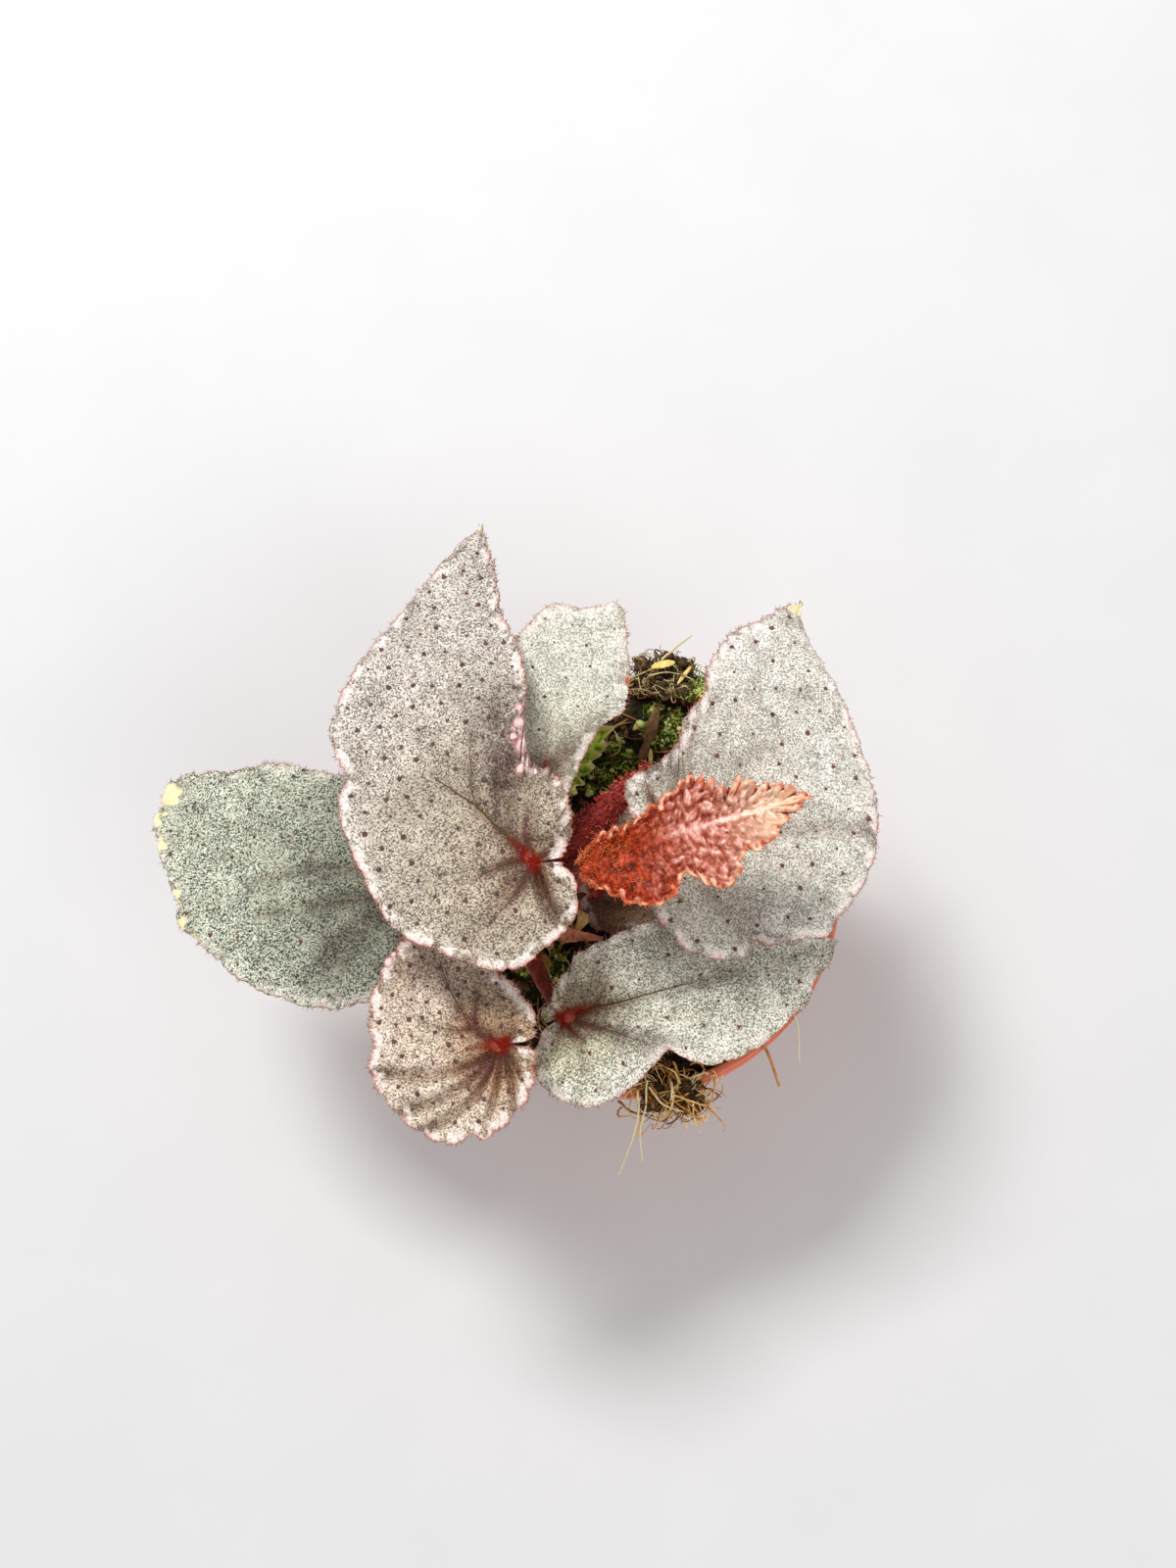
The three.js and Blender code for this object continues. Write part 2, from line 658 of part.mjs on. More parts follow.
function stipuleGeometry({ foot, via, widths }) {
  const start = [...foot, soilHeight(...foot) + GAP + STIPULE_THICKNESS / 2];
  const curve = curveThrough([start, ...via]);
  const steps = 8;
  const rings = [];
  for (let step = 0; step <= steps; step++) {
    const place = step / steps;
    const along = place * (widths.length - 1);
    const before = Math.min(Math.floor(along), widths.length - 2);
    const half = THREE.MathUtils.lerp(widths[before], widths[before + 1], along - before);
    const middle = curve.getPointAt(place);
    const tangent = curve.getTangentAt(place);
    const across = new THREE.Vector3(0, 0, 1).cross(tangent).normalize();
    const outward = tangent.clone().cross(across).normalize();
    const edges = [[-half, 0], [0, -STIPULE_THICKNESS], [half, 0], [0, STIPULE_THICKNESS / 2]];
    rings.push(
      edges.map(([side, lift]) =>
        middle.clone().addScaledVector(across, side).addScaledVector(outward, lift),
      ),
    );
  }
  return loft(rings);
}

// A lumpy core with looping strands sunk well into it, joined as one body
function clumpGeometry({ middle, size, turn, strands, seed, long }) {
  const random = seededRandom(seed);
  const between = (low, high) => THREE.MathUtils.lerp(low, high, random());
  const core = new THREE.SphereGeometry(1, 14, 9);
  const places = core.attributes.position;
  for (let i = 0; i < places.count; i++) {
    const point = new THREE.Vector3().fromBufferAttribute(places, i);
    const swell = 1 + 0.25 * Math.sin(7 * point.x + 3 * point.z) * Math.cos(5 * point.y);
    places.setXYZ(i, point.x * swell, point.y * swell, point.z * swell);
  }
  core.scale(...size).rotateZ(THREE.MathUtils.degToRad(turn)).translate(...middle);
  let clump = solidOf(core);
  const outwards = Math.atan2(middle[1], middle[0]);
  for (let strand = 0; strand < strands; strand++) {
    const start = [
      middle[0] + between(-0.6, 0.6) * size[0],
      middle[1] + between(-0.3, 0.3) * size[1],
      middle[2] + between(-0.1, 0.3) * size[2],
    ];
    const heading = outwards + between(-1.9, 1.9);
    const reach = between(3.5, 8);
    const path = [start];
    for (const [place, rise, bend] of [[0.4, 0.9, 0.3], [0.75, 0.8, -0.4], [1, -0.1, 0.2]]) {
      const angle = heading + bend * between(0.5, 1.5);
      const x = start[0] + place * reach * Math.cos(angle);
      const y = start[1] + place * reach * Math.sin(angle);
      const overWall = Math.hypot(x, y) < POT_TOP_RADIUS + STRAND_MARGIN;
      const lowest = overWall ? POT_HEIGHT + STRAND_MARGIN : POT_HEIGHT - 3;
      path.push([x, y, Math.max(middle[2] + size[2] * rise * between(0.8, 1.5), lowest)]);
    }
    clump = clump.add(solidOf(rod(path, STRAND_RADII, 4, 4)));
  }
  for (const path of long) clump = clump.add(solidOf(rod(path, ROOT_RADII, 4, 8)));
  return meshGeometryOf(clump);
}

function barkGeometry({ from, to, width, thickness }) {
  const start = vector(from);
  const end = vector(to);
  const along = end.clone().sub(start).normalize();
  const across = new THREE.Vector3(0, 0, 1).cross(along).normalize();
  const up = along.clone().cross(across);
  const sections = [[0, 0.5], [0.25, 1], [0.6, 0.8], [1, 0.25]];
  const corners = [[-0.5, 0], [-0.35, 1], [0.4, 0.8], [0.5, 0]];
  const rings = sections.map(([place, scale]) =>
    corners.map(([side, lift]) =>
      start
        .clone()
        .lerp(end, place)
        .addScaledVector(across, side * width * scale)
        .addScaledVector(up, lift * thickness * scale),
    ),
  );
  return loft(rings.map((ring) => ring.reverse()));
}

const plant = new THREE.Group();

function place(name, geometry, material) {
  geometry.computeVertexNormals();
  const mesh = new THREE.Mesh(geometry, MATERIALS[material]);
  mesh.name = name;
  plant.add(mesh);
}

place("pot", potGeometry(), "pot");
const bed = solidOf(soilGeometry()).subtract(solidOf(rhizomeGeometry(GAP)));
place("soil", meshGeometryOf(bed), "soil");

let rhizome = solidOf(rhizomeGeometry(0));
const stalkBases = Object.values(LEAVES).map(({ stalk }) => [stalk.base, stalk.radius[0]]);
stalkBases.push([FOLDED_LEAF.base, FOLDED_LEAF.radii[0]]);
for (const [[x, y], radius] of stalkBases) {
  const bore = uprightRod(radius + SOCKET_CLEARANCE, SOCKET_SIDES, x, y, SOCKET_FLOOR, SOCKET_TOP);
  rhizome = rhizome.subtract(solidOf(bore));
}
place("rhizome", meshGeometryOf(rhizome), "rhizome");

for (const [name, leaf] of Object.entries(LEAVES)) {
  place(`blade_${name}`, bladeGeometry(leaf), leaf.colour);
  place(`stalk_${name}`, rod(stalkPoints(leaf), leaf.stalk.radius, 8, 12), "stalk");
}

const foldedPath = [
  [...FOLDED_LEAF.base, SOCKET_FLOOR + GAP],
  [...FOLDED_LEAF.base, SOCKET_FLOOR + 4],
  ...FOLDED_LEAF.via,
];
place("folded_leaf", rod(foldedPath, FOLDED_LEAF.radii, 8, 16), "stalk");

STIPULES.forEach((stipule, index) => {
  place(`stipule_${index + 1}`, stipuleGeometry(stipule), "stipule");
});
place("liverwort", bladeGeometry(LIVERWORT), "moss");
for (const [name, clump] of Object.entries(CLUMPS)) {
  place(`fibres_${name}`, clumpGeometry(clump), "fibre");
}
for (const [name, { path, radius }] of Object.entries(LOOSE)) {
  place(name, rod(path, [radius, radius, 0.7 * radius], 6, 8), "fibre");
}
place("bark_chip", barkGeometry(BARK_CHIP), "bark");

export default plant;
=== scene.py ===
import itertools
import math

import bpy
import numpy as np
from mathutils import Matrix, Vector
from mathutils.bvhtree import BVHTree


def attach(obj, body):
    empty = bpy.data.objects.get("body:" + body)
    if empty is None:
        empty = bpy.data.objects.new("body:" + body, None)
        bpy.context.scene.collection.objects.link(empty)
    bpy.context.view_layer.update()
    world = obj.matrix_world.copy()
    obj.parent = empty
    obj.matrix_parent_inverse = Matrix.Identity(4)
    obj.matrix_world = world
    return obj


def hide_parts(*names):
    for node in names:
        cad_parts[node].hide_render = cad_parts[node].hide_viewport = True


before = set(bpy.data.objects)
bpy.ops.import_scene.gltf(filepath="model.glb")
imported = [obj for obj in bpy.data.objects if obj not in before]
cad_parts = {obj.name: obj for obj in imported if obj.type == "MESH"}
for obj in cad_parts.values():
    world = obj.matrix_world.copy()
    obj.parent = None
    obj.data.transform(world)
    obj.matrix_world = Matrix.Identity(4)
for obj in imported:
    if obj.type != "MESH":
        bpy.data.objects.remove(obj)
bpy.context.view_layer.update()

# A small begonia with silver leaves in a plastic nursery pot.
# Lengths are in millimetres until a mesh is made, and +Z is up.
MM = 0.001

# The pot and its filling
POT_HEIGHT = 60
POT_TOP_RADIUS = 37.5
POT_BASE_RADIUS = 26
POT_WALL = 1.1
POT_FLOOR = 1.4
LIP_HEIGHT = 6
LIP_STEP = 1.4
LIP_WALL = 2
RIM_INSIDE = 34.6
RIM_OUTSIDE = 38
POT_SIDES = 160
DRAIN_HOLES = 6
DRAIN_RADIUS = 3
DRAIN_RING = 17
POT_DIRT_HEIGHT = 12
SOIL_EDGE_HEIGHT = 56.5
SOIL_HEAP = 3.5
SOIL_BUMP = 0.9
SOIL_RADIUS = 34.5
SOIL_SKIRT = [(SOIL_RADIUS, 50), (29, 25), (23.2, 1.8), (0.1, 1.8)]

# The plant
ABOVE_ALL = 200
CURL_SPAN = 30
MIDRIB_STEPS = 500
RING_CROWDING = 1.35
TEETH_IN_SCALLOP = 3.5
HUB_REACH = 0.9
HUB_LAG = 0.05
BLADE_CORE = 0.55
BLADE_EDGE = 0.3
BEAD_HEIGHT = 1.3
HEART_LENGTH = 8
HEART_TAPER = 0.25
FULL_RED_VEIN = 0.34
SPIKE_SIDES = 3
SOCKET_FLOOR = 61.15
STALK_RISE = 4.65
SEAT_DROP = 0.85
RHIZOME_MIDDLE = (-17, -4, 60)
RHIZOME_HEADING = 29
RHIZOME_HALF_SIZE = (12, 5.4, 4.2)
RHIZOME_CLEARANCE = (12, 5.6)

# Each leaf lies over a plan of its own: u runs from the stalk's seat towards the tip, at the
# heading given in degrees from +X, and v runs to its left. slope and curl tilt and bend it along
# both. left and right are the halves of its outline, from the tip back to the sinus. Along a
# line, creases (depth, width) are broad troughs, folds (depth, width, darkness) are narrow ones,
# or ridges where the depth is negative, and veins (half width, depth) run from their root to
# their end. fans are the places round the outline, from 0 to 1, that plain side veins run to.
# Round a place (u, v), domes (height, radius) swell, stains (strength, radius) darken, partly as
# the leaf's own stains and partly as painted shade in its valleys and where other leaves shade it,
# beads (radius) are pink swellings and dry (radius) is yellow. The darkness of folds and veins is
# partly their own colour and partly painted shade in the grooves. wave is the height and count of
# the margin's waves, frill the start, end and height of a curled stretch of it, tooth the depth and
# teeth the count of its teeth, hairs the count of its bristles, pucker the height of the blade's
# unevenness, dots the gap and radius of its pimples, and size its spokes in a half and its rings.
# A stalk runs from its base by way of via, and its radius goes from the first to the last.
PLAIN_LEAF = {
    "creases": [], "folds": [], "veins": [], "fans": (), "domes": [], "stains_and_shade": [], "beads": [],
    "dry": [], "frill": (0, 0, 0), "dots": None,
}
LEAVES = {}
LEAVES["top"] = PLAIN_LEAF | {
    "seat": (-15, -5, 104), "heading": 99, "slope": (-0.06, 0.03), "curl": (-3, -3),
    "midrib": [(0, 0), (10, 6.5), (25, 8), (42, 5), (61.5, 0)],
    "left": [
        (61.5, 0), (54, 8), (45.5, 16), (37.5, 23), (28, 28.5), (23.5, 28.5), (19, 27),
        (14, 28.5), (2, 26), (-7, 22), (-11, 16.5), (-15, 9), (-15.5, 5), (-12, -1.5),
        (-10, -4.5), (-5, -6), (-2.4, -5.4), (-0.4, -4.4),
    ],
    "right": [
        (61.5, 0), (52.5, -1), (43, -1.2), (37.5, -2.5), (30, -3.3), (24, -2),
        (18.5, -1.8), (16, -2.5), (13.5, -5), (10, -6.6), (4, -6.5), (1.5, -5.3),
        (0.1, -4.3),
    ],
    "creases": [
        ([(2, 1), (7.4, 5), (10.6, 4.2), (12.8, 2.9), (14.8, 1.2), (17, -1.6)], 2.4, 2.4),
        ([(0, 0), (19, 27)], 1.2, 3),
    ],
    "folds": [
        ([(3, -2), (8, -2.6), (11.2, -3.4), (13, -4.4)], -1.8, 2.6, 0),
        ([(3, 1.6), (8.4, 3), (11.8, 1.6), (14.2, -0.8)], 0.6, 1.1, 0.5),
        ([(-1, -0.2), (-6, -0.8), (-10, -2.4)], 1.4, 1.1, 0.5),
        ([(-1, 2), (-5, 6), (-10, 11)], 0.7, 1.8, 0.4),
        ([(12, 17), (17, 12), (20, 6)], 0.8, 2.4, 0.3),
        ([(11, 21), (14, 16), (16, 13)], 0.5, 2, 0.3),
        ([(23, 1.5), (30, 1), (38, 0.5)], 0.7, 1.6, 0.2),
    ],
    "domes": [(7, -4, 0.9, 2.6), (26, 3, 0.7, 4), (-6, -3.6, 0.8, 2.2)],
    "stains_and_shade": [
        (12.6, 3, 0.7, 2.2), (14.6, 2, 0.7, 2.4), (17.4, 2.4, 0.7, 2.8), (20.5, 1.6, 0.6, 3.2),
        (19.5, -1.8, 0.8, 1.6), (16.6, -0.4, 0.6, 1.6), (9.4, 4, 0.5, 2), (6.4, 3.2, 0.5, 1.8),
        (-7, -1.6, 0.5, 1.8), (16, 6.4, 0.4, 3), (24.5, 3, 0.5, 3.6), (28, 1, 0.3, 4),
    ],
    "veins": [
        ([(0.3, 0.2), (3.9, 2.6), (7.4, 5.2), (10.4, 7.4), (12, 9.2), (16.2, 13.3)], 0.36, 0.6),
        ([(10.2, 7.2), (13, 7.8), (16, 7.4), (19.3, 7.3), (23, 6.2)], 0.15, 0.35),
        ([(7.7, 4.9), (11.1, 4.3), (14.2, 4.2), (17, 3)], 0.1, 0.1),
        ([(0.3, 0.2), (0.9, 2.1), (0.3, 5), (-0.8, 8.5)], 0.24, 0.4),
        ([(0, 0.4), (-2.6, 2), (-5.7, 5), (-8, 8)], 0.17, 0.4),
        ([(0, 0.1), (-4.8, -0.9), (-9.2, -2.3)], 0.2, 0.2),
        ([(0.3, 0), (4, 0.6), (8.3, 0)], 0.13, 0.2),
        ([(0, 0), (1, -1.6), (1.6, -3.4)], 0.12, 0.2),
    ],
    "fans": (0.06, 0.12, 0.19, 0.27, 0.35, 0.42, 0.62, 0.75),
    "wave": (0.7, 9), "tooth": 0.36, "teeth": 150, "size": (420, 28), "pucker": 0.5,
    "frill": (0.8, 0.9, 1.1),
    "beads": [
        (14.2, -2.4, 0.5), (15.6, -0.2, 0.9), (18.9, -0.9, 1.1), (20.6, 0.2, 0.6),
        (22.6, -0.9, 0.9), (25.4, -1.3, 0.6),
    ],
    "dots": (4.0, 0.36), "hairs": 460, "dry": [(61, 0, 1.1)],
    "slot": "leaf_silver",
    "stalk": {"base": (-21.5, -4), "via": [(-17.5, -5, 86)], "radius": (1.7, 1.3)},
}
LEAVES["right"] = PLAIN_LEAF | {
    "seat": (6, 2, 89), "heading": 60, "slope": (-0.08, 0.07), "curl": (-3, -2.5),
    "midrib": [(0, 0), (12, -3), (28, -5), (40, -2), (50, 1)],
    "left": [
        (50, 1), (47.5, 3), (42.5, 6), (36.5, 8.7), (29.5, 9), (24, 7), (20, 8),
        (15, 6.8), (9.5, 8), (5, 10.5), (2, 9.3), (-0.6, 6.5),
    ],
    "right": [
        (50, 1), (47, -0.5), (43.5, -4), (37.5, -12.5), (30.5, -20.7), (24.5, -26),
        (20, -28.7), (14.5, -30.6), (8, -31), (3, -30), (-1, -29.7), (-3.2, -26.6),
        (-7, -21.8), (-7, -20.2), (-9, -20.5), (-11.5, -19.2), (-14, -14), (-14.4, -10.5),
        (-12.5, -5), (-10, 1), (-6, 4.5), (-1.8, 5),
    ],
    "creases": [([(3, 1), (17, 8)], 1.8, 3), ([(0, -3), (-7, -21)], 1.4, 3)],
    "folds": [
        ([(4, -6), (12, -17), (19, -27.5)], 1.1, 1.7, 0.5),
        ([(6, 2), (13, 4), (21, 7)], 1, 1.5, 0.5),
        ([(8, -3), (22, -7), (34, -8)], 0.8, 2.4, 0.25),
        ([(2, -8), (6, -18), (8, -30)], 0.6, 2, 0.15),
        ([(-2, -6), (-5, -13), (-7, -20)], 0.8, 1.8, 0.35),
    ],
    "domes": [(-9, -13, 0.8, 4), (27, 4, 0.6, 4)],
    "stains_and_shade": [
        (10, 7, 0.75, 3), (16, 6, 0.4, 3), (-3, -18, 0.35, 2.4), (-6.4, -20.5, 0.9, 1.4),
        (19, -27.5, 0.6, 1.6),
    ],
    "veins": [([(2, 3), (7, 8.5), (9, 10)], 0.14, 0.2)],
    "fans": (0.12, 0.24, 0.36, 0.5, 0.6, 0.68, 0.76, 0.84, 0.93),
    "wave": (0.6, 9), "tooth": 0.32, "teeth": 150, "size": (400, 26), "pucker": 0.55,
    "dots": (5.2, 0.34), "hairs": 420, "dry": [(50, 1, 3.2)],
    "slot": "leaf_silver",
    "stalk": {
        "base": (-12.3, -2.6), "via": [(-12.8, -2.8, 73), (-8.5, -2, 81), (0, 0.4, 85.5)],
        "radius": (1.5, 1.2),
    },
}
LEAVES["front"] = PLAIN_LEAF | {
    "seat": (-11, -26, 83), "heading": 18, "slope": (-0.08, 0.03), "curl": (-2, -3),
    "midrib": [(0, 0), (12, 2), (25, 1.5), (36, 0), (47.5, -1.5)],
    "left": [
        (47.5, -1.5), (40, 5), (32, 9), (24, 11), (18.5, 10.8), (11, 10), (7.5, 9.5),
        (4.5, 8.7), (3, 7), (0.5, 5.5), (-1, 3), (-3, 1.8), (-3, -0.2),
    ],
    "right": [
        (47.5, -1.5), (44.5, -5), (41, -7), (40, -9), (35, -11.5), (29.5, -14), (24, -14.7),
        (20.5, -14.5), (18, -13.4), (16.3, -11.7), (14.7, -10.3), (10.5, -12.5),
        (6.5, -14.3), (3, -15.1), (-0.5, -15), (-3.2, -13.5), (-6, -10.5), (-6.9, -7.8),
        (-6.5, -5), (-5, -2.5), (-3.4, -0.9),
    ],
    "creases": [([(0, 0), (15, -10.5)], 2, 2.5)],
    "folds": [
        ([(2, 0), (9, -0.2), (18, -0.6), (30, -0.6)], 1, 1.5, 0.4),
        ([(6, -2.4), (12, -4.8), (20, -9)], -1, 2, 0),
        ([(3, 1), (7, 4), (9, 8)], 0.7, 1.4, 0.4),
    ],
    "domes": [(-1, -9, 0.9, 5)],
    "stains_and_shade": [
        (8.4, -5.6, 0.75, 2.2), (12, -7.6, 0.6, 2), (4.6, -2.8, 0.5, 1.8), (14.4, -9.4, 0.6, 1.6),
        (26, 6, 0.35, 6), (3, 4, 0.3, 4),
    ],
    "veins": [
        ([(-0.3, -1.2), (1.4, -0.5), (4.8, 0), (9.2, -0.4), (15.1, -0.6), (21, -0.8)],
         0.34, 0.4),
        ([(4.6, -0.1), (7, 1.4), (8.6, 3.2)], 0.12, 0.25),
        ([(1, -0.9), (4.9, -3.2), (8.3, -5.5), (10.8, -7.4)], 0.2, 0.3),
        ([(0.2, -1), (1, -3), (1.9, -4.4)], 0.28, 0.3),
        ([(0, -0.8), (-0.8, -2)], 0.3, 0.2),
        ([(0.4, -0.6), (-0.9, 0.4)], 0.2, 0.2),
    ],
    "fans": (0.1, 0.2, 0.33, 0.5, 0.62, 0.8, 0.88, 0.95),
    "wave": (0.5, 7), "tooth": 0.3, "teeth": 110, "size": (330, 24), "pucker": 0.45,
    "dots": (6.5, 0.3), "hairs": 260,
    "slot": "leaf_green_silver",
    "stalk": {"base": (-18.8, -8.2), "via": [(-14.5, -19, 75)], "radius": (1.5, 1.2)},
}
LEAVES["low_left"] = PLAIN_LEAF | {
    "seat": (-20, -31, 91), "heading": 187, "slope": (-0.1, 0), "curl": (-2, -2),
    "midrib": [(0, 0), (6, 0), (11, 0), (16, 0.3), (21.7, 1)],
    "left": [
        (21.7, 1), (20.3, 4.5), (18.4, 7.5), (15.8, 10.7), (12.2, 13.3), (9.8, 14.3),
        (6, 13.4), (4.4, 14.1), (1.5, 12.7), (-1.1, 10.6), (-3.1, 8.6), (-4, 6.9),
        (-4.6, 4.3), (-4.9, 1.9), (-3.7, 0.35),
    ],
    "right": [
        (21.7, 1), (20.7, -2.6), (20.8, -7.3), (19.5, -11.4), (18, -14), (14, -18.5),
        (9, -19), (4, -16), (0, -12.5), (-2.8, -9.1), (-4.8, -6.1), (-5.7, -2.8),
        (-5.4, -1), (-3.7, 0.15),
    ],
    "folds": [
        ([(1, 0.8), (4.4, 2.2), (9, 3.2), (14, 2.8), (21, 1.6)], 1.4, 0.9, 0.9),
        ([(1.4, 1.2), (5.8, 4.8), (10.6, 7), (17, 8.4)], 1.4, 0.85, 0.9),
        ([(1.3, 1.5), (4.6, 6.6), (8.6, 9.6), (13.8, 11.6)], 1.3, 0.8, 0.9),
        ([(0.6, 1.6), (1.8, 6.4), (4.4, 13)], 1.1, 0.7, 0.7),
        ([(0.2, 1.6), (-0.6, 6), (-0.6, 10)], 1.0, 0.6, 0.6),
        ([(-0.4, 1.4), (-3, 6.4)], 0.8, 0.6, 0.5),
        ([(1.4, -1.4), (5.2, -4.4), (6.8, -8.2), (8.2, -14)], 1.0, 1.0, 0.4),
    ],
    "domes": [(13, 5.4, 0.5, 2.2), (10, -6, 0.6, 4)],
    "beads": [(16.6, -15.2, 0.8), (15.6, -16.4, 0.5)],
    "stains_and_shade": [
        (19, 2, 0.5, 1.4), (15, 8, 0.5, 1.2), (12, 11, 0.4, 1.1),
        (12, -14, 0.6, 5), (3, -9, 0.55, 5), (16, -15, 0.4, 4),
    ],
    "veins": [
        ([(0.3, 0), (4.3, -3), (6.5, -7.4), (7.9, -11.3), (8.4, -14)], 0.24, 0.2),
        ([(4.2, -2.9), (3.7, -6.1), (2.8, -8.4)], 0.12, 0.1),
        ([(4.2, -2.9), (7, -3.1), (9.6, -3.9), (12.4, -5.4)], 0.11, 0.1),
        ([(0.3, 0.2), (4.4, 2.2), (7.6, 3)], 0.17, 0.1), ([(0.2, 0.4), (1.8, 6)], 0.2, 0.1),
        ([(0.2, 0.4), (4.5, 6)], 0.2, 0.1), ([(0, 0.4), (-0.6, 5.6)], 0.18, 0.1),
        ([(0, 0.2), (-2.4, 0.2)], 0.42, 0.1), ([(0, 0.1), (-1.6, -1.4)], 0.26, 0.1),
    ],
    "fans": (0.18, 0.62, 0.72),
    "wave": (0.5, 11), "tooth": 0.5, "teeth": 72, "size": (300, 24), "pucker": 0.35,
    "dots": (3.1, 0.33), "hairs": 330,
    "slot": "leaf_brown_silver",
    "stalk": {"base": (-22.4, -10.2), "via": [(-22, -24, 80)], "radius": (1.4, 1.1)},
}
LEAVES["left"] = PLAIN_LEAF | {
    "seat": (-34, -4, 84), "heading": 160, "slope": (-0.2, 0), "curl": (-2, -2),
    "midrib": [(0, 0), (12, 3), (25, 4), (38, 1), (49.5, -3.5)],
    "left": [
        (49.5, -3.5), (49.2, 4.2), (47.3, 7), (43, 12), (39, 16), (37.7, 19), (30, 22.2),
        (22.3, 25), (15, 25.5), (6.6, 24.6), (0, 21), (-5, 16), (-7.5, 10), (-6.5, 4),
        (-3, 1),
    ],
    "right": [
        (49.5, -3.5), (46, -5.6), (39.7, -8.1), (32, -11.4), (24, -12.5), (15, -13.5),
        (6, -13), (-1, -10.5), (-5, -6.5), (-5.5, -3), (-2.8, -0.8),
    ],
    "folds": [
        ([(4, 3), (12, 8), (24, 14)], 1, 1.3, 0.5), ([(6, 1), (16, 3), (28, 9)], 1, 1.3, 0.5),
        ([(4, 6), (9, 15), (12, 22)], 0.9, 1.8, 0.4), ([(20, 5), (32, 6), (44, 5)], 0.8, 2.2, 0.2),
    ],
    "stains_and_shade": [(14, 9, 0.5, 2.5), (18, 4, 0.4, 2.5), (8, 15, 0.6, 6), (4, 4, 0.7, 6)],
    "veins": [
        ([(4, 3), (7.7, 5.8), (11.8, 7.6), (16, 9.8)], 0.14, 0.2),
        ([(6, 0.8), (11.4, 1.6), (15.5, 2.6), (20, 5.2)], 0.14, 0.2),
    ],
    "fans": (0.1, 0.18, 0.27, 0.36, 0.47, 0.6, 0.72, 0.85),
    "wave": (0.7, 8), "tooth": 0.45, "teeth": 96, "size": (320, 24), "pucker": 0.5,
    "dots": (6.4, 0.3), "hairs": 260,
    "dry": [(48.6, -1, 2.6), (48.6, 3.6, 1.5), (46.6, 8.4, 1.9), (43, 12.6, 1.4),
            (39.6, 16, 1.7), (37, 19.8, 1.5), (33.5, 21.2, 1.1)],
    "slot": "leaf_green_silver",
    "stalk": {"base": (-25, -7), "via": [(-31, -5.5, 77)], "radius": (1.4, 1.2)},
}
LEAVES["back"] = PLAIN_LEAF | {
    "seat": (-14.5, 9.5, 92), "heading": 67, "slope": (-0.05, 0), "curl": (-2, -2),
    "midrib": [(0, 0), (9, 2), (18, 3), (27, 1.5), (34.2, -0.3)],
    "left": [
        (34.2, -0.3), (34.5, 2), (32.5, 4.5), (31, 7.8), (30, 11), (26.5, 13), (22, 14),
        (15, 14.5), (8, 13), (1, 10), (-3.5, 6.5), (-4.5, 3), (-2.5, 0.8),
    ],
    "right": [
        (34.2, -0.3), (31, -2), (26.6, -4.3), (23, -5.4), (20, -6.9), (17.4, -7.3),
        (15.6, -6.4), (13.8, -5.2), (9.5, -4.5), (5.5, -4.5), (1.5, -4.6), (-1.5, -4),
        (-3, -2.2), (-2.2, -0.7),
    ],
    "folds": [
        ([(3, 0), (9, -2), (15, -5)], 0.9, 1.5, 0.4), ([(4, 2), (14, 3), (26, 2)], 0.6, 2, 0.2),
    ],
    "stains_and_shade": [(8, -3, 0.6, 2.6), (12.5, -5, 0.5, 2), (2, 0, 0.7, 4)],
    "fans": (0.14, 0.26, 0.38, 0.5, 0.62, 0.74, 0.86),
    "wave": (0.5, 8), "tooth": 0.28, "teeth": 90, "size": (260, 22), "pucker": 0.4,
    "dots": (5.4, 0.24), "hairs": 220,
    "slot": "leaf_silver",
    "stalk": {"base": (-18, -1.3), "via": [(-16, 5.5, 82)], "radius": (1.3, 1.1)},
}
LEAVES["young"] = PLAIN_LEAF | {
    "seat": (-8, -5, 100), "heading": 14, "slope": (0.5, 0), "curl": (-4, 0),
    "midrib": [(0, 0), (9, 0), (18, 0), (27, 0.3), (35.5, 0.5)],
    "left": [
        (35.5, 0.5), (33, 2.3), (30, 3.7), (27.5, 4.3), (26, 6), (23.5, 4.7), (21.5, 6.8),
        (19, 8.2), (16, 7), (13.5, 6.2), (10, 4.6), (7.5, 4), (4.5, 4.2), (2, 2.8),
        (-0.4, 1.2),
    ],
    "right": [
        (35.5, 0.5), (33, -1.2), (30.2, -3), (28.5, -4.6), (25.8, -5.7), (23.6, -5.6),
        (22.5, -8), (19.5, -9.8), (17.5, -9), (15.8, -6.6), (14, -6.2), (13.3, -8),
        (10.3, -9.3), (7.3, -8.6), (4.5, -6.8), (1.8, -4.2), (-0.4, -1.2),
    ],
    "creases": [([(0, 0), (40, 0)], 2, 4)],
    "wave": (0.9, 14), "tooth": 1.9, "teeth": 38, "size": (460, 28), "pucker": 0.3,
    "hairs": 260,
    "slot": "leaf_young",
    "stalk": {"base": (-15, -6), "via": [(-14, -6.8, 80)], "radius": (1.3, 1.1)},
}
LEAVES["under"] = PLAIN_LEAF | {
    "seat": (-7, -4.5, 73), "heading": 15, "slope": (-0.05, 0), "curl": (-2, -2),
    "midrib": [(0, 0), (7, 0), (14, 0), (21, 0), (27, 0)],
    "left": [
        (27, 0), (23, 7), (15, 12.5), (7, 14.5), (2, 12.5), (0, 9), (-1, 4.5), (-1.5, 0.8),
    ],
    "right": [
        (27, 0), (23, -6), (15, -8.5), (7, -8.5), (1, -7), (-1.5, -4.5), (-1.7, -0.8),
    ],
    "stains_and_shade": [(2, 0, 0.7, 7)],
    "fans": (0.3, 0.5, 0.7),
    "wave": (0.5, 8), "tooth": 0.3, "teeth": 70, "size": (180, 14), "pucker": 0.35,
    "dots": (5, 0.3), "hairs": 80,
    "slot": "leaf_green_silver",
    "stalk": {"base": (-8.7, -0.6), "via": [], "radius": (1.1, 1)},
}


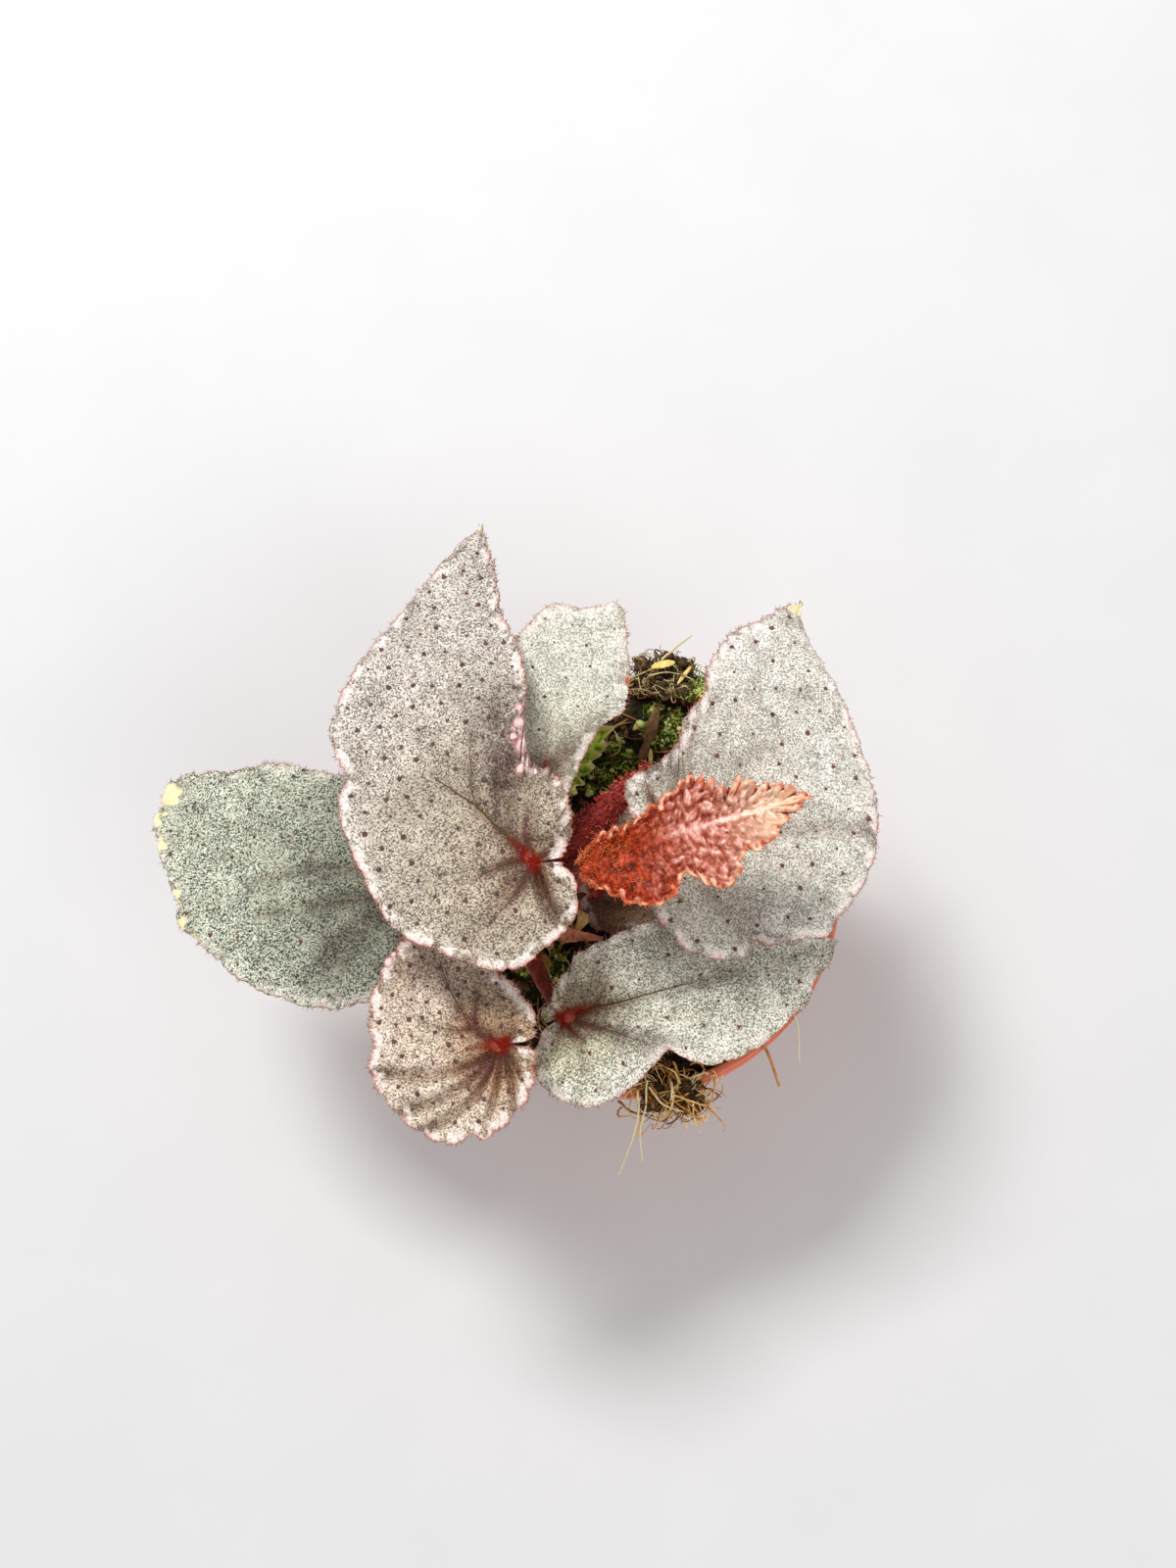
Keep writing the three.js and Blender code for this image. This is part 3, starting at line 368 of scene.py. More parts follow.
# Shared maths
def smooth(x):
    x = np.clip(x, 0, 1)
    return x * x * (3 - 2 * x)


def unit(vectors):
    return vectors / np.maximum(np.linalg.norm(vectors, axis=-1, keepdims=True), 1e-9)


def noise(points, size, seed=0):
    """Smooth value noise from -1 to 1, with cells of that size: points is (..., dimensions)."""
    scaled = np.asarray(points, float) / size
    cell = np.floor(scaled)
    part = smooth(scaled - cell)
    dimensions = scaled.shape[-1]
    total = np.zeros(scaled.shape[:-1])
    for corner in itertools.product((0, 1), repeat=dimensions):
        key = (cell + corner) @ np.array([127.1, 311.7, 74.7])[:dimensions]
        value = np.sin(key + 17.3 * seed) * 43758.5453
        weight = np.prod(np.where(corner, part, 1 - part), axis=-1)
        total += weight * (2 * (value - np.floor(value)) - 1)
    return total


def circle(sides):
    """The cosines and the sines of evenly spaced angles."""
    angles = np.arange(sides) / sides * 2 * math.pi
    return np.cos(angles), np.sin(angles)


def turned(x, y, angle):
    """x and y turned about the vertical."""
    return x * math.cos(angle) - y * math.sin(angle), x * math.sin(angle) + y * math.cos(angle)


def tapered(values, steps):
    """The values, evenly spaced, read at that many steps."""
    return np.interp(np.linspace(0, 1, steps), np.linspace(0, 1, len(values)), values)


def curve_through(points, count):
    """A centripetal Catmull-Rom curve through the points, as evenly spaced points."""
    points = np.array(points, float)
    ends = [2 * points[0] - points[1], 2 * points[-1] - points[-2]]
    points = np.vstack([ends[:1], points, ends[1:]])
    pieces = []
    for a, b, c, d in zip(points, points[1:], points[2:], points[3:]):
        knots = [0]
        for before, after in ((a, b), (b, c), (c, d)):
            knots.append(knots[-1] + max(np.linalg.norm(after - before), 1e-6) ** 0.5)
        t0, t1, t2, t3 = knots
        t = np.linspace(t1, t2, 30, endpoint=False)[:, None]
        ab = ((t1 - t) * a + (t - t0) * b) / (t1 - t0)
        bc = ((t2 - t) * b + (t - t1) * c) / (t2 - t1)
        cd = ((t3 - t) * c + (t - t2) * d) / (t3 - t2)
        abc = ((t2 - t) * ab + (t - t0) * bc) / (t2 - t0)
        bcd = ((t3 - t) * bc + (t - t1) * cd) / (t3 - t1)
        pieces.append(((t2 - t) * abc + (t - t1) * bcd) / (t2 - t1))
    dense = np.vstack([*pieces, points[-2:-1]])
    run = np.r_[0, np.cumsum(np.linalg.norm(np.diff(dense, axis=0), axis=1))]
    places = np.linspace(0, run[-1], count)
    return np.stack([np.interp(places, run, column) for column in dense.T], axis=-1)


def walls(ids):
    """Quads between rings of corners: ids is (..., rings, sides)."""
    ahead = np.roll(ids, -1, axis=-1)
    quads = [ids[..., :-1, :], ahead[..., :-1, :], ahead[..., 1:, :], ids[..., 1:, :]]
    return np.stack(quads, -1).reshape(-1, 4).tolist()


def closed(ids):
    """The walls, and a cap on both ends of each run of rings."""
    sides = ids.shape[-1]
    caps = [ids[..., 0, ::-1].reshape(-1, sides), ids[..., -1, :].reshape(-1, sides)]
    return walls(ids) + np.vstack(caps).tolist()


def doubled(faces, border, shift):
    """A thin body's faces: the upper ones, the lower ones shift corners on, and those between."""
    lower = [[corner + shift for corner in reversed(face)] for face in faces]
    between = [[b, a, a + shift, b + shift] for a, b in zip(border, border[1:] + border[:1])]
    return faces + lower + between


def sheet(front, back):
    """A closed thin body between two grids of points, each (rows, columns, 3)."""
    ids = np.arange(front[..., 0].size).reshape(front.shape[:2])
    quads = np.stack([ids[:-1, :-1], ids[:-1, 1:], ids[1:, 1:], ids[1:, :-1]], -1)
    border = [*ids[0, :-1], *ids[:-1, -1], *ids[-1, :0:-1], *ids[:0:-1, 0]]
    points = np.vstack([front.reshape(-1, 3), back.reshape(-1, 3)])
    return points, doubled(quads.reshape(-1, 4).tolist(), border, ids.size)


def tubes(paths, radii, sides):
    """Closed tubes along many paths at once: paths is (count, steps, 3), radii (count, steps)."""
    paths = np.asarray(paths, float)
    count, steps, _ = paths.shape
    radii = np.broadcast_to(radii, (count, steps))
    tangents = unit(np.gradient(paths, axis=1))
    helper = np.where(np.abs(tangents[:, 0, 2:]) > 0.9, [[1.0, 0, 0]], [[0, 0, 1.0]])
    across = unit(np.cross(tangents[:, 0], helper))
    cosines, sines = circle(sides)
    points = np.empty((count, steps, sides, 3))
    for step in range(steps):
        tangent = tangents[:, step]
        across = unit(across - (across * tangent).sum(1, keepdims=True) * tangent)
        other = np.cross(tangent, across)
        ring = cosines[:, None] * across[:, None] + sines[:, None] * other[:, None]
        points[:, step] = paths[:, step, None] + radii[:, step, None, None] * ring
    return points.reshape(-1, 3), closed(np.arange(count * steps * sides).reshape(count, steps, sides))


def tube(path, radii, sides):
    return tubes(path[None], radii[None], sides)


def merged(parts):
    """Several (points, faces) pairs as one."""
    points, faces, shift = [], [], 0
    for more_points, more_faces in parts:
        points.append(more_points)
        faces += [[corner + shift for corner in face] for face in more_faces]
        shift += len(more_points)
    return np.vstack(points), faces


def piece(name, shape, finish, replaces=(), marks=None):
    """A mesh from (points, faces), with its finish, marks on its points, and its CAD nodes."""
    points, faces = shape
    mesh = bpy.data.meshes.new(name)
    mesh.from_pydata((np.asarray(points) * MM).tolist(), [], faces)
    mesh.polygons.foreach_set("use_smooth", np.ones(len(mesh.polygons), bool))
    for mark, values in (marks or {}).items():
        attribute = mesh.attributes.new(mark, "FLOAT", "POINT")
        attribute.data.foreach_set("value", np.asarray(values, np.float32).ravel())
    mesh.materials.append(finish)
    mesh.update()
    thing = bpy.data.objects.new(name, mesh)
    bpy.context.scene.collection.objects.link(thing)
    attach(thing, "root")
    if replaces:
        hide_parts(*replaces)
    return thing


# Finishes
def colour(code):
    """A hexadecimal sRGB colour as linear light."""
    parts = [int(code[place:place + 2], 16) / 255 for place in (0, 2, 4)]
    linear = [p / 12.92 if p <= 0.04045 else ((p + 0.055) / 1.055) ** 2.4 for p in parts]
    return (*linear, 1)


MATT = 0.9
GLOSSY = 0.35


class Finish:
    """One material's node graph, made a socket at a time."""

    def __init__(self, name, settings=None):
        self.material = bpy.data.materials.new(name)
        self.material.use_nodes = True
        self.tree = self.material.node_tree
        self.tree.nodes.clear()
        self.shader = self.node("BsdfPrincipled", settings or {})
        output = self.node("OutputMaterial", {})
        self.tree.links.new(self.shader.outputs[0], output.inputs["Surface"])
        self.place = self.node("TexCoord", {}).outputs["Object"]

    def node(self, kind, values):
        """A new node with those values for its inputs."""
        node = self.tree.nodes.new(f"ShaderNode{kind}")
        self.give(node, values)
        return node

    def give(self, node, values):
        """Sets inputs, by name or number, to other nodes' outputs, hexadecimal colours or numbers."""
        for name, value in values.items():
            if isinstance(value, bpy.types.NodeSocket):
                self.tree.links.new(value, node.inputs[name])
            else:
                node.inputs[name].default_value = colour(value) if isinstance(value, str) else value

    def into(self, name, value):
        self.give(self.shader, {name: value})

    def noise(self, size, detail=2, roughness=0.5, distortion=0):
        """Noise from 0 to 1 whose cells are about size millimetres."""
        node = self.node("TexNoise", {
            "Vector": self.place, "Scale": 1 / (size * MM), "Detail": detail,
            "Roughness": roughness, "Distortion": distortion,
        })
        return node.outputs[0]

    def mark(self, name):
        node = self.node("Attribute", {})
        node.attribute_name = name
        return node.outputs["Fac"]

    def maths(self, operation, a, b):
        node = self.node("Math", {0: a, 1: b})
        node.operation = operation
        return node.outputs[0]

    def times(self, a, b):
        return self.maths("MULTIPLY", a, b)

    def plus(self, a, b, strength=None):
        """a and b, or b times its strength."""
        return self.maths("ADD", a, b if strength is None else self.times(b, strength))

    def span(self, value, low, high, start=0.0, end=1.0):
        """value eased from start at low to end at high."""
        node = self.node("MapRange", {0: value, 1: low, 2: high, 3: start, 4: end})
        node.interpolation_type = "SMOOTHSTEP"
        return node.outputs[0]

    def mix(self, share, a, b, blend="MIX"):
        node = self.node("Mix", {})
        node.data_type = "RGBA"
        node.blend_type = blend
        self.give(node, {0: share, 6: a, 7: b})
        return node.outputs[2]

    def bump(self, height, depth):
        """Relief of that depth in millimetres."""
        node = self.node("Bump", {"Distance": depth * MM, "Height": height})
        self.into("Normal", node.outputs[0])


def leaf_finish(name, light, dark, tint_and_shade, tint_and_shade_reach, edge_share, stain_and_shade="7c5f5c"):
    """Silver flecks over a dark ground, olive round the seat, pink and glossy at the margin."""
    f = Finish(f"leaf_{name}", {"IOR": 1.42})
    seat, margin, shade = f.mark("seat"), f.mark("margin"), f.mark("shade")
    fine, middling, broad = f.noise(0.29, 1, 0.6, 0.6), f.noise(1.1, 2, 0.8), f.noise(5, 3)
    level = f.plus(f.plus(fine, middling, 0.28), broad, 0.18)
    skin = f.mix(f.span(level, 0.6, 0.84), dark, light)
    # Warm patches, the tint round the seat, soft clouds of painted shade that stand in for the shading
    # of the puckers, olive round the seat, stains, darkening along the grooves, and the veins'
    # red-brown halo near the seat
    cloud = f.span(f.noise(1.7, 3, 0.7), 0.3, 0.6, 0.5, 1.1)
    layers = [
        (f.span(f.noise(1.1, 2), 0.4, 0.7, 0, 0.3), "c4a296"),
        # Darker round the seat: partly the leaf's own tint, partly painted shade where the blade gets
        # less light
        (f.span(seat, 6, tint_and_shade_reach, 1, 0), tint_and_shade),
        # Painted shade: soft darker clouds in place of the shading of the leaf's puckers
        (f.span(f.noise(2.4, 3, 0.6), 0.38, 0.62, 0.3, 0), "a0968a"),
        (f.span(seat, 2, 7, 0.6, 0), "a88858"),
        # Stains, partly the leaf's own colour and partly painted shade in valleys and under other
        # leaves
        (f.times(f.mark("stain_and_shade"), cloud), stain_and_shade),
        # Darker along the grooves: partly the veins' own brown, partly painted shade in the grooves
        (f.times(shade, 0.75), "8c6c4c"),
        (f.times(shade, f.span(seat, 4, 12, 1.2, 0)), "a8502c"),
    ]
    for share, tone in layers:
        skin = f.mix(share, skin, tone, "MULTIPLY")
    # The red streak that runs from the seat up the midrib
    heart = f.plus(f.mark("heart"), f.noise(1.2, 3), 1.6)
    skin = f.mix(f.span(heart, 2.9, 1.2, 0, 0.9), skin, "761402")
    f.into("Specular IOR Level", f.span(heart, 1.2, 3.0, 0.04, 0.5))
    # The margin: pale patches, darker stretches between them, and a thin rim
    ragged = f.plus(margin, f.noise(1.0, 3, 0.7), 2.6)
    open_edge = f.plus(f.times(f.mark("notch"), 0.5), f.noise(3.6, 2, 0.6), 3.0)
    open_edge = f.plus(open_edge, f.span(seat, 28, 50, 0, 0.3))
    blotch = f.times(f.span(ragged, 3.3, 2.2), f.span(open_edge, 1.85, 1.5))
    glow = f.plus(margin, f.noise(0.5, 2), 1.2)
    soft_edge = f.mix(f.span(glow, 0.6, 1.3), "cc8680", "fbeee6")
    grainy = f.span(fine, 0.3, 0.6, 0.55, 1)
    skin = f.mix(f.times(f.times(blotch, edge_share), grainy), skin, soft_edge)
    dark_edge = f.times(f.span(ragged, 2.6, 1.5), f.span(open_edge, 1.7, 2.2))
    skin = f.mix(f.times(dark_edge, 0.5), skin, "a8766a", "MULTIPLY")
    rim = f.mix(f.noise(2.2, 2), "7a3c2c", "c88c78")
    skin = f.mix(f.span(margin, 0.22, 0.03, 0, 0.45), skin, rim)
    # Pink beads, dry patches and the underside
    bead = f.plus(f.mark("bead"), f.noise(0.6, 2), 0.3)
    skin = f.mix(f.span(bead, 0.25, 0.5, 0, 0.6), skin, "b4666c")
    skin = f.mix(f.span(bead, 0.5, 0.8, 0, 0.9), skin, "fadcdc")
    skin = f.mix(f.mark("dry"), skin, f.mix(f.noise(1.2, 3), "dcc888", "fbf4d0"))
    below = f.mix(f.span(f.noise(2.5, 4), 0.35, 0.65), "7a3a34", "93604e")
    below = f.mix(f.span(shade, 0.1, 0.7), below, "a8483a")
    f.into("Base Color", f.mix(f.mark("below"), skin, below))
    f.into("Roughness", f.span(f.plus(fine, blotch), 0.4, 1.3, 0.5, 0.28))
    f.bump(f.plus(fine, middling, 0.8), 0.2)
    return f.material


def vein_finish():
    """Red at the seat, brown further out, and thin and grey at the end."""
    f = Finish("leaf_vein", {"Specular IOR Level": 0.06, "Roughness": 0.6})
    seat = f.mark("seat")
    near = f.mix(f.span(seat, 2.5, 7), "6a1406", "54401f")
    f.into("Base Color", f.mix(f.span(seat, 9, 20), near, "514439"))
    f.bump(f.noise(0.4, 2), 0.05)
    return f.material


def young_finish():
    """A puckered red leaf: pink on its ridges with a painted highlight on the highest, dark rust in
    its troughs, partly painted shade.
    """
    f = Finish("leaf_young", {"IOR": 1.45, "Coat Roughness": 0.25})
    seat, margin = f.mark("seat"), f.mark("margin")
    # Ridges and troughs: the darkest rust in the troughs is partly painted shade, and the palest pink
    # on the highest crests is a painted highlight
    crest = f.plus(f.mark("crest"), f.noise(0.45, 3, 0.7), 0.5)
    skin = f.mix(f.span(crest, 0.3, 0.65), "4c1408", "9c4026")
    skin = f.mix(f.span(crest, 0.65, 1.0), skin, "cc8674")
    skin = f.mix(f.span(crest, 1.0, 1.3), skin, "f4ccc0")
    # The dark rust ground of the lower part: its darkest pits are partly painted shade, and its palest
    # orange spots are painted highlights
    base = f.plus(seat, f.noise(3), 6)
    pits = f.plus(f.times(f.mark("crest"), 0.5), f.noise(1.2, 4, 0.75), 1.7)
    ground = f.mix(f.span(pits, 0.85, 1.35), "4a0c02", "ac3406")
    ground = f.mix(f.span(pits, 1.4, 1.7), ground, "d0642e")
    skin = f.mix(f.span(base, 23, 11, 0, 0.95), skin, ground)
    # The midrib, the pale tip, the cupped margin, its darker red partly painted shade inside the curl,
    # and its rim, pale partly in its own colour and partly as painted light where the frills curl up
    skin = f.mix(f.span(f.mark("shade"), 0.5, 0.9, 0, 0.4), skin, "d89880")
    skin = f.mix(f.span(seat, 20, 33, 0, 0.8), skin, "fbdcbc")
    cup = f.times(f.span(margin, 1.7, 0.7), f.span(seat, 8, 24, 0.8, 0))
    skin = f.mix(cup, skin, "8a1c0c")
    rim = f.mix(f.span(f.noise(1.8), 0.35, 0.65), "d8603a", "fcc8a4")
    skin = f.mix(f.span(margin, 0.65, 0.3, 0, 0.95), skin, rim)
    below = f.mix(f.noise(1.5, 3), "8e2414", "b84e34")
    f.into("Base Color", f.mix(f.mark("below"), skin, below))
    f.into("Roughness", f.span(crest, 0.4, 0.9, 0.5, 0.25))
    f.into("Coat Weight", f.span(seat, 8, 24, 0, 0.22))
    f.into("Specular IOR Level", f.span(seat, 8, 22, 0.2, 0.5))
    f.bump(f.noise(0.5, 3), 0.22)
    return f.material


def mottled_finish(name, tones, size, depth, mark=None, roughness=0.65):
    """Two or three tones in soft patches of that size, with relief of that depth."""
    f = Finish(name, {"Roughness": roughness})
    level = f.noise(size, 4, 0.6)
    if mark:
        level = f.plus(f.times(level, 0.4), f.mark(mark), 0.6)
    skin = f.mix(f.span(level, 0.3, 0.5), tones[0], tones[1])
    if len(tones) > 2:
        skin = f.mix(f.span(level, 0.5, 0.75), skin, tones[2])
    f.into("Base Color", skin)
    f.bump(f.noise(size / 3, 4, 0.6), depth)
    return f.material


def pot_finish():
    """Thin terracotta-coloured plastic, scuffed all over and dirty near the foot."""
    f = Finish("pot_plastic", {"IOR": 1.48})
    skin = f.mix(f.noise(9, 4), "dc6240", "f08460")
    skin = f.mix(f.span(f.noise(1.3, 5, 0.75, 1.5), 0.58, 0.72, 0, 0.35), skin, "eaa184")
    height = f.node("SeparateXYZ", {0: f.place}).outputs[2]
    dirt = f.times(f.span(height, POT_DIRT_HEIGHT * MM, 0.0, 0, 0.5), f.noise(3, 4))
    f.into("Base Color", f.mix(dirt, skin, "5a4632"))
    f.into("Roughness", f.span(f.noise(2.5, 4), 0.3, 0.7, 0.3, 0.45))
    f.bump(f.noise(0.5, 3), 0.03)
    return f.material


# Leaves
def spread(leaf, plan):
    """Leaf plan coordinates as places in X and Y."""
    x, y = turned(plan[..., 0], plan[..., 1], math.radians(leaf["heading"]))
    return leaf["seat"][0] + x, leaf["seat"][1] + y


def beside(plan, line):
    """How far each place of the plan is from a line, and its place along it from 0 to 1."""
    points = curve_through(line, 18) if len(line) > 2 else np.array(line, float)
    starts, runs = points[:-1], np.diff(points, axis=0)
    offset = plan[:, None] - starts[None]
    part = np.clip((offset * runs).sum(2) / (runs ** 2).sum(1), 0, 1)
    away = np.linalg.norm(offset - part[..., None] * runs, axis=2)
    best = away.argmin(1)
    rows = np.arange(len(plan))
    return away[rows, best], (best + part[rows, best]) / len(runs)


def base_height(leaf, plan):
    """The leaf's slope, curl and creases."""
    u, v = plan.T
    height = leaf["slope"][0] * u + leaf["slope"][1] * v
    height += leaf["curl"][0] * (u / CURL_SPAN) ** 2 + leaf["curl"][1] * (v / CURL_SPAN) ** 2
    for line, depth, width in leaf["creases"]:
        away, along = beside(plan, line)
        height -= depth * smooth(along) * np.exp(-((away / width) ** 2))
    return height


def leaf_point(leaf, plan, lift=0):
    x, y = spread(leaf, plan)
    return np.stack([x, y, leaf["seat"][2] + base_height(leaf, plan) + lift], axis=-1)


def leaf_normal(leaf, plan):
    step = 0.5
    here = leaf_point(leaf, plan)
    ahead = leaf_point(leaf, plan + [step, 0]) - here
    aside = leaf_point(leaf, plan + [0, step]) - here
    return unit(np.cross(ahead, aside))


def outline_of(leaf, steps):
    left = curve_through(leaf["left"][::-1], steps + 1)
    right = curve_through(leaf["right"], steps + 1)
    return np.vstack([left, right[1:]])


def fine_relief(leaf, outline, plan):
    """The grooves of veins and folds over the plan, and how dark they are painted: partly the veins'
    own colour, partly painted shade in the grooves.
    """
    # Line, depth, width, darkness, and how much it fades towards its end
    lines = [(*fold, 0) for fold in leaf["folds"]]
    lines += [(line, depth, 0.6 + 1.6 * half, 1.0, 0.55) for line, half, depth in leaf["veins"]]
    lines.append((leaf["midrib"], 0.5, 1.3, 0.2, 0.5))
    tip = unit(np.array(leaf["midrib"][-1], float))
    for place in leaf["fans"]:
        end = 0.94 * outline[int(place * (len(outline) - 1))]
        bend = 0.5 * end + 0.12 * np.linalg.norm(end) * tip
        lines.append(([(0, 0), tuple(bend), tuple(end)], 0.45, 1.1, 0.25, 0.4))
    troughs, ridges, shade = np.zeros((3, len(plan)))
    for line, depth, width, darkness, fading in lines:
        away, along = beside(plan, line)
        shape = np.exp(-((away / width) ** 2)) * (1 - fading * along) * smooth(along * 8 + 0.3)
        if depth > 0:
            troughs += (depth * shape) ** 2
            shade = np.maximum(shade, darkness * shape)
        else:
            ridges += (depth * shape) ** 2
    return np.sqrt(ridges) - np.sqrt(troughs), shade


def margin_field(outline, plan):
    """How far each place of the plan is from the outline."""
    nearest = np.full(len(plan), 1e9)
    for start in range(0, len(outline), 60):
        chunk = outline[start:start + 60]
        away = np.linalg.norm(plan[:, None] - chunk[None], axis=2).min(1)
        nearest = np.minimum(nearest, away)
    return nearest


def toothed(leaf, outline, hubs, seed):
    """The outline with uneven teeth and scallops cut in, and how deep each place is in a notch."""
    run = np.linspace(0, 1, len(outline)) * leaf["teeth"]
    run = run + 0.35 * noise(run[:, None], 3.0, seed)
    uneven = 0.6 + 0.4 * noise(run[:, None], 1.7, seed + 1)
    tooth = np.abs(np.sin(math.pi * run)) ** 0.7
    scallop = np.abs(np.sin(math.pi * run / TEETH_IN_SCALLOP)) ** 0.6
    length = np.linalg.norm(outline - hubs, axis=1)
    fade = smooth((length - leaf["tooth"]) / min(6 * leaf["tooth"], 3))
    if leaf["slot"] == "leaf_young":
        cut = leaf["tooth"] * uneven * (1 - tooth ** 0.6) * (0.6 + 0.7 * (1 - scallop))
    else:
        cut = leaf["tooth"] * (uneven * (1 - tooth) + 1.2 * (1 - scallop))
    ahead = unit(np.gradient(outline, axis=0))
    inward = np.stack([ahead[:, 1], -ahead[:, 0]], 1)
    edge = outline + inward * (cut * fade)[:, None]
    return edge, run, 1 - scallop


def cells(places, seed):
    """How far inside an uneven cell each place is: 0 at the cracks between the cells."""
    corner = np.floor(places)
    away = []
    for step in itertools.product((-1, 0, 1), repeat=2):
        cell = corner + step
        key = (cell @ np.array([127.1, 311.7]))[:, None] + seed + [0, 269.5]
        jitter = np.sin(key) * 43758.5453 % 1
        away.append(np.linalg.norm(places - cell - 0.1 - 0.8 * jitter, axis=1))
    nearest, second = np.sort(away, axis=0)[:2]
    return second - nearest


def young_relief(plan, margin, run):
    """Blisters in rows that slant forward from the midrib, and a margin of curled scallops."""
    u, v = plan.T
    lower = v < 0
    warp = np.stack([noise(plan, 2.2, 70), noise(plan, 2.2, 71)], 1)
    row = (u - np.where(lower, 2.2, 1.3) * np.abs(v) + 1.1 * warp[:, 0]) / np.where(lower, 4.2, 3.4)
    outer = smooth((u - 6) / 16)
    large = np.clip(cells((plan + 0.9 * warp) / 1.9, 5) / 0.5, 0, 1) ** 0.7
    small = np.clip(cells((plan + 0.6 * warp) / 0.95, 9) / 0.5, 0, 1) ** 0.7
    crinkle = 0.3 * large + 0.4 * small + 0.3 * (0.5 + noise(plan, 1.3, 75))
    blister = (0.7 * large + 0.3 * small) * outer + crinkle * (1 - outer)
    rows = np.abs(np.sin(math.pi * row)) ** 0.6
    ridged = np.where(lower, 0.5, 0.2) * outer
    crest = blister * (1 - ridged) + ridged * rows * (0.4 + 0.6 * blister)
    away = smooth((np.abs(v - 0.4) - 0.15) / 0.6)
    rib = 0.5 + 0.5 * smooth((u - 7) / 12)
    crest = np.clip(crest * away + rib * (1 - away) + 0.2 * noise(plan, 0.6, 73), 0, 1)
    lobe = np.abs(np.sin(math.pi * run)) ** 0.6
    extra = (0.5 + 0.8 * outer) * (crest - 0.5) * smooth(margin / 0.9)
    extra += (2.2 * lobe - 1.1) * smooth((2.0 - margin) / 2.0) * smooth(np.hypot(u, v) / 4)
    return crest, extra


def lay_out(leaf, seed):
    """The blade's plan: spokes from the midrib to the toothed edge, cut into rings that crowd
    towards the edge. Gives its outline, its places, their numbers by spoke and ring, and facts of
    each place."""
    steps, rings = leaf["size"]
    outline = outline_of(leaf, steps)
    last = len(outline) - 1
    midrib = curve_through(leaf["midrib"], MIDRIB_STEPS)
    tip = leaf["midrib"][-1][0]
    abreast = (outline[:steps + 1, 0] + outline[::-1][:steps + 1, 0]) / 2
    reach = np.maximum.accumulate(HUB_REACH * (abreast - HUB_LAG * tip) / tip)
    hub_ids = np.round(np.clip(reach, 0, 1) * (MIDRIB_STEPS - 1)).astype(int)
    hub_ids = np.r_[hub_ids, hub_ids[-2::-1]]
    hubs = midrib[hub_ids]
    edge, run, notch = toothed(leaf, outline, hubs, seed)
    rows = 1 - (1 - np.arange(1, rings + 1) / rings) ** RING_CROWDING
    spokes = hubs[:, None] + (edge - hubs)[:, None] * rows[None, :, None]
    kept, hub_index = np.unique(hub_ids, return_inverse=True)
    plan = np.vstack([midrib[kept], spokes.reshape(-1, 2)])
    index = np.empty((last + 1, rings + 1), int)
    index[:, 0] = hub_index
    index[:, 1:] = len(kept) + np.arange((last + 1) * rings).reshape(last + 1, rings)

    def over_spokes(values):
        return np.r_[np.zeros(len(kept)), np.repeat(values, rings)]

    facts = {
        "share": np.r_[np.zeros(len(kept)), np.tile(rows, last + 1)],
        "place": over_spokes(np.arange(last + 1) / last),
        "run": over_spokes(run),
        "notch": over_spokes(notch),
        "margin": margin_field(edge, plan),
        "seat": np.hypot(*plan.T),
    }
    return outline, plan, index, facts


def bump_at(plan, u, v, radius):
    """1 at a place of the plan, and less away from it."""
    return np.exp(-((plan[:, 0] - u) ** 2 + (plan[:, 1] - v) ** 2) / radius ** 2)


def relief_of(leaf, outline, plan, facts, seed):
    """How far each place is lifted, how deep its grooves are, and the marks for the finish."""
    margin, seat = facts["margin"], facts["seat"]
    grooves, shade = fine_relief(leaf, outline, plan)
    wave_height, waves = leaf["wave"]
    lift = grooves + wave_height * np.sin(2 * math.pi * waves * facts["place"]) * facts["share"] ** 3
    off_seat = smooth(seat / 6)
    puckers = noise(plan, 6, seed + 6) + 0.5 * noise(plan, 3, seed + 2) + 0.3 * noise(plan, 1.5, seed)
    lift += leaf["pucker"] * 0.6 * puckers * off_seat
    ruffle = noise(plan, 1.5, seed + 4) + 0.5 * noise(plan, 0.8, seed + 3)
    lift += leaf["pucker"] * 0.8 * ruffle * smooth((2.2 - margin) / 2.2) * off_seat
    start, end, height = leaf["frill"]
    inside = smooth((facts["place"] - start) / 0.02) * smooth((end - facts["place"]) / 0.02)
    curl = np.sin(math.pi * facts["run"] * 0.7) + 0.5 * noise(plan, 0.8, seed + 7)
    lift += height * inside * curl * smooth((2.6 - margin) / 2.6)
    for u, v, height, radius in leaf["domes"]:
        lift += height * bump_at(plan, u, v, radius)
    # Stains darken the blade round their places: partly its own stains, partly painted shade in
    # valleys and under other leaves
    clear = np.ones(len(plan))
    for u, v, strength, radius in leaf["stains_and_shade"]:
        clear *= 1 - strength * bump_at(plan, u, v, radius)
    bead = np.zeros(len(plan))
    for u, v, radius in leaf["beads"]:
        dome = bump_at(plan, u, v, radius)
        lift += BEAD_HEIGHT * radius * dome
        bead = np.maximum(bead, dome)
    crest = np.full(len(plan), 0.5)
    if leaf["slot"] == "leaf_young":
        crest, blisters = young_relief(plan, margin, facts["run"])
        lift += blisters
    dry = np.zeros(len(plan))
    for u, v, radius in leaf["dry"]:
        away = np.hypot(plan[:, 0] - u, plan[:, 1] - v) + 0.9 * noise(plan, 1.1, seed + 5)
        dry = np.maximum(dry, smooth((radius - away) / 0.4))
    forward = unit(np.array(leaf["midrib"][1], float))
    ahead = np.clip(plan @ forward, 0, HEART_LENGTH)
    heart = np.linalg.norm(plan - ahead[:, None] * forward, axis=1) + HEART_TAPER * ahead
    marks = {
        "shade": shade, "margin": margin, "seat": seat, "stain_and_shade": 1 - clear, "dry": dry,
        "crest": crest, "notch": facts["notch"], "bead": bead, "heart": heart,
    }
    return lift, grooves, marks


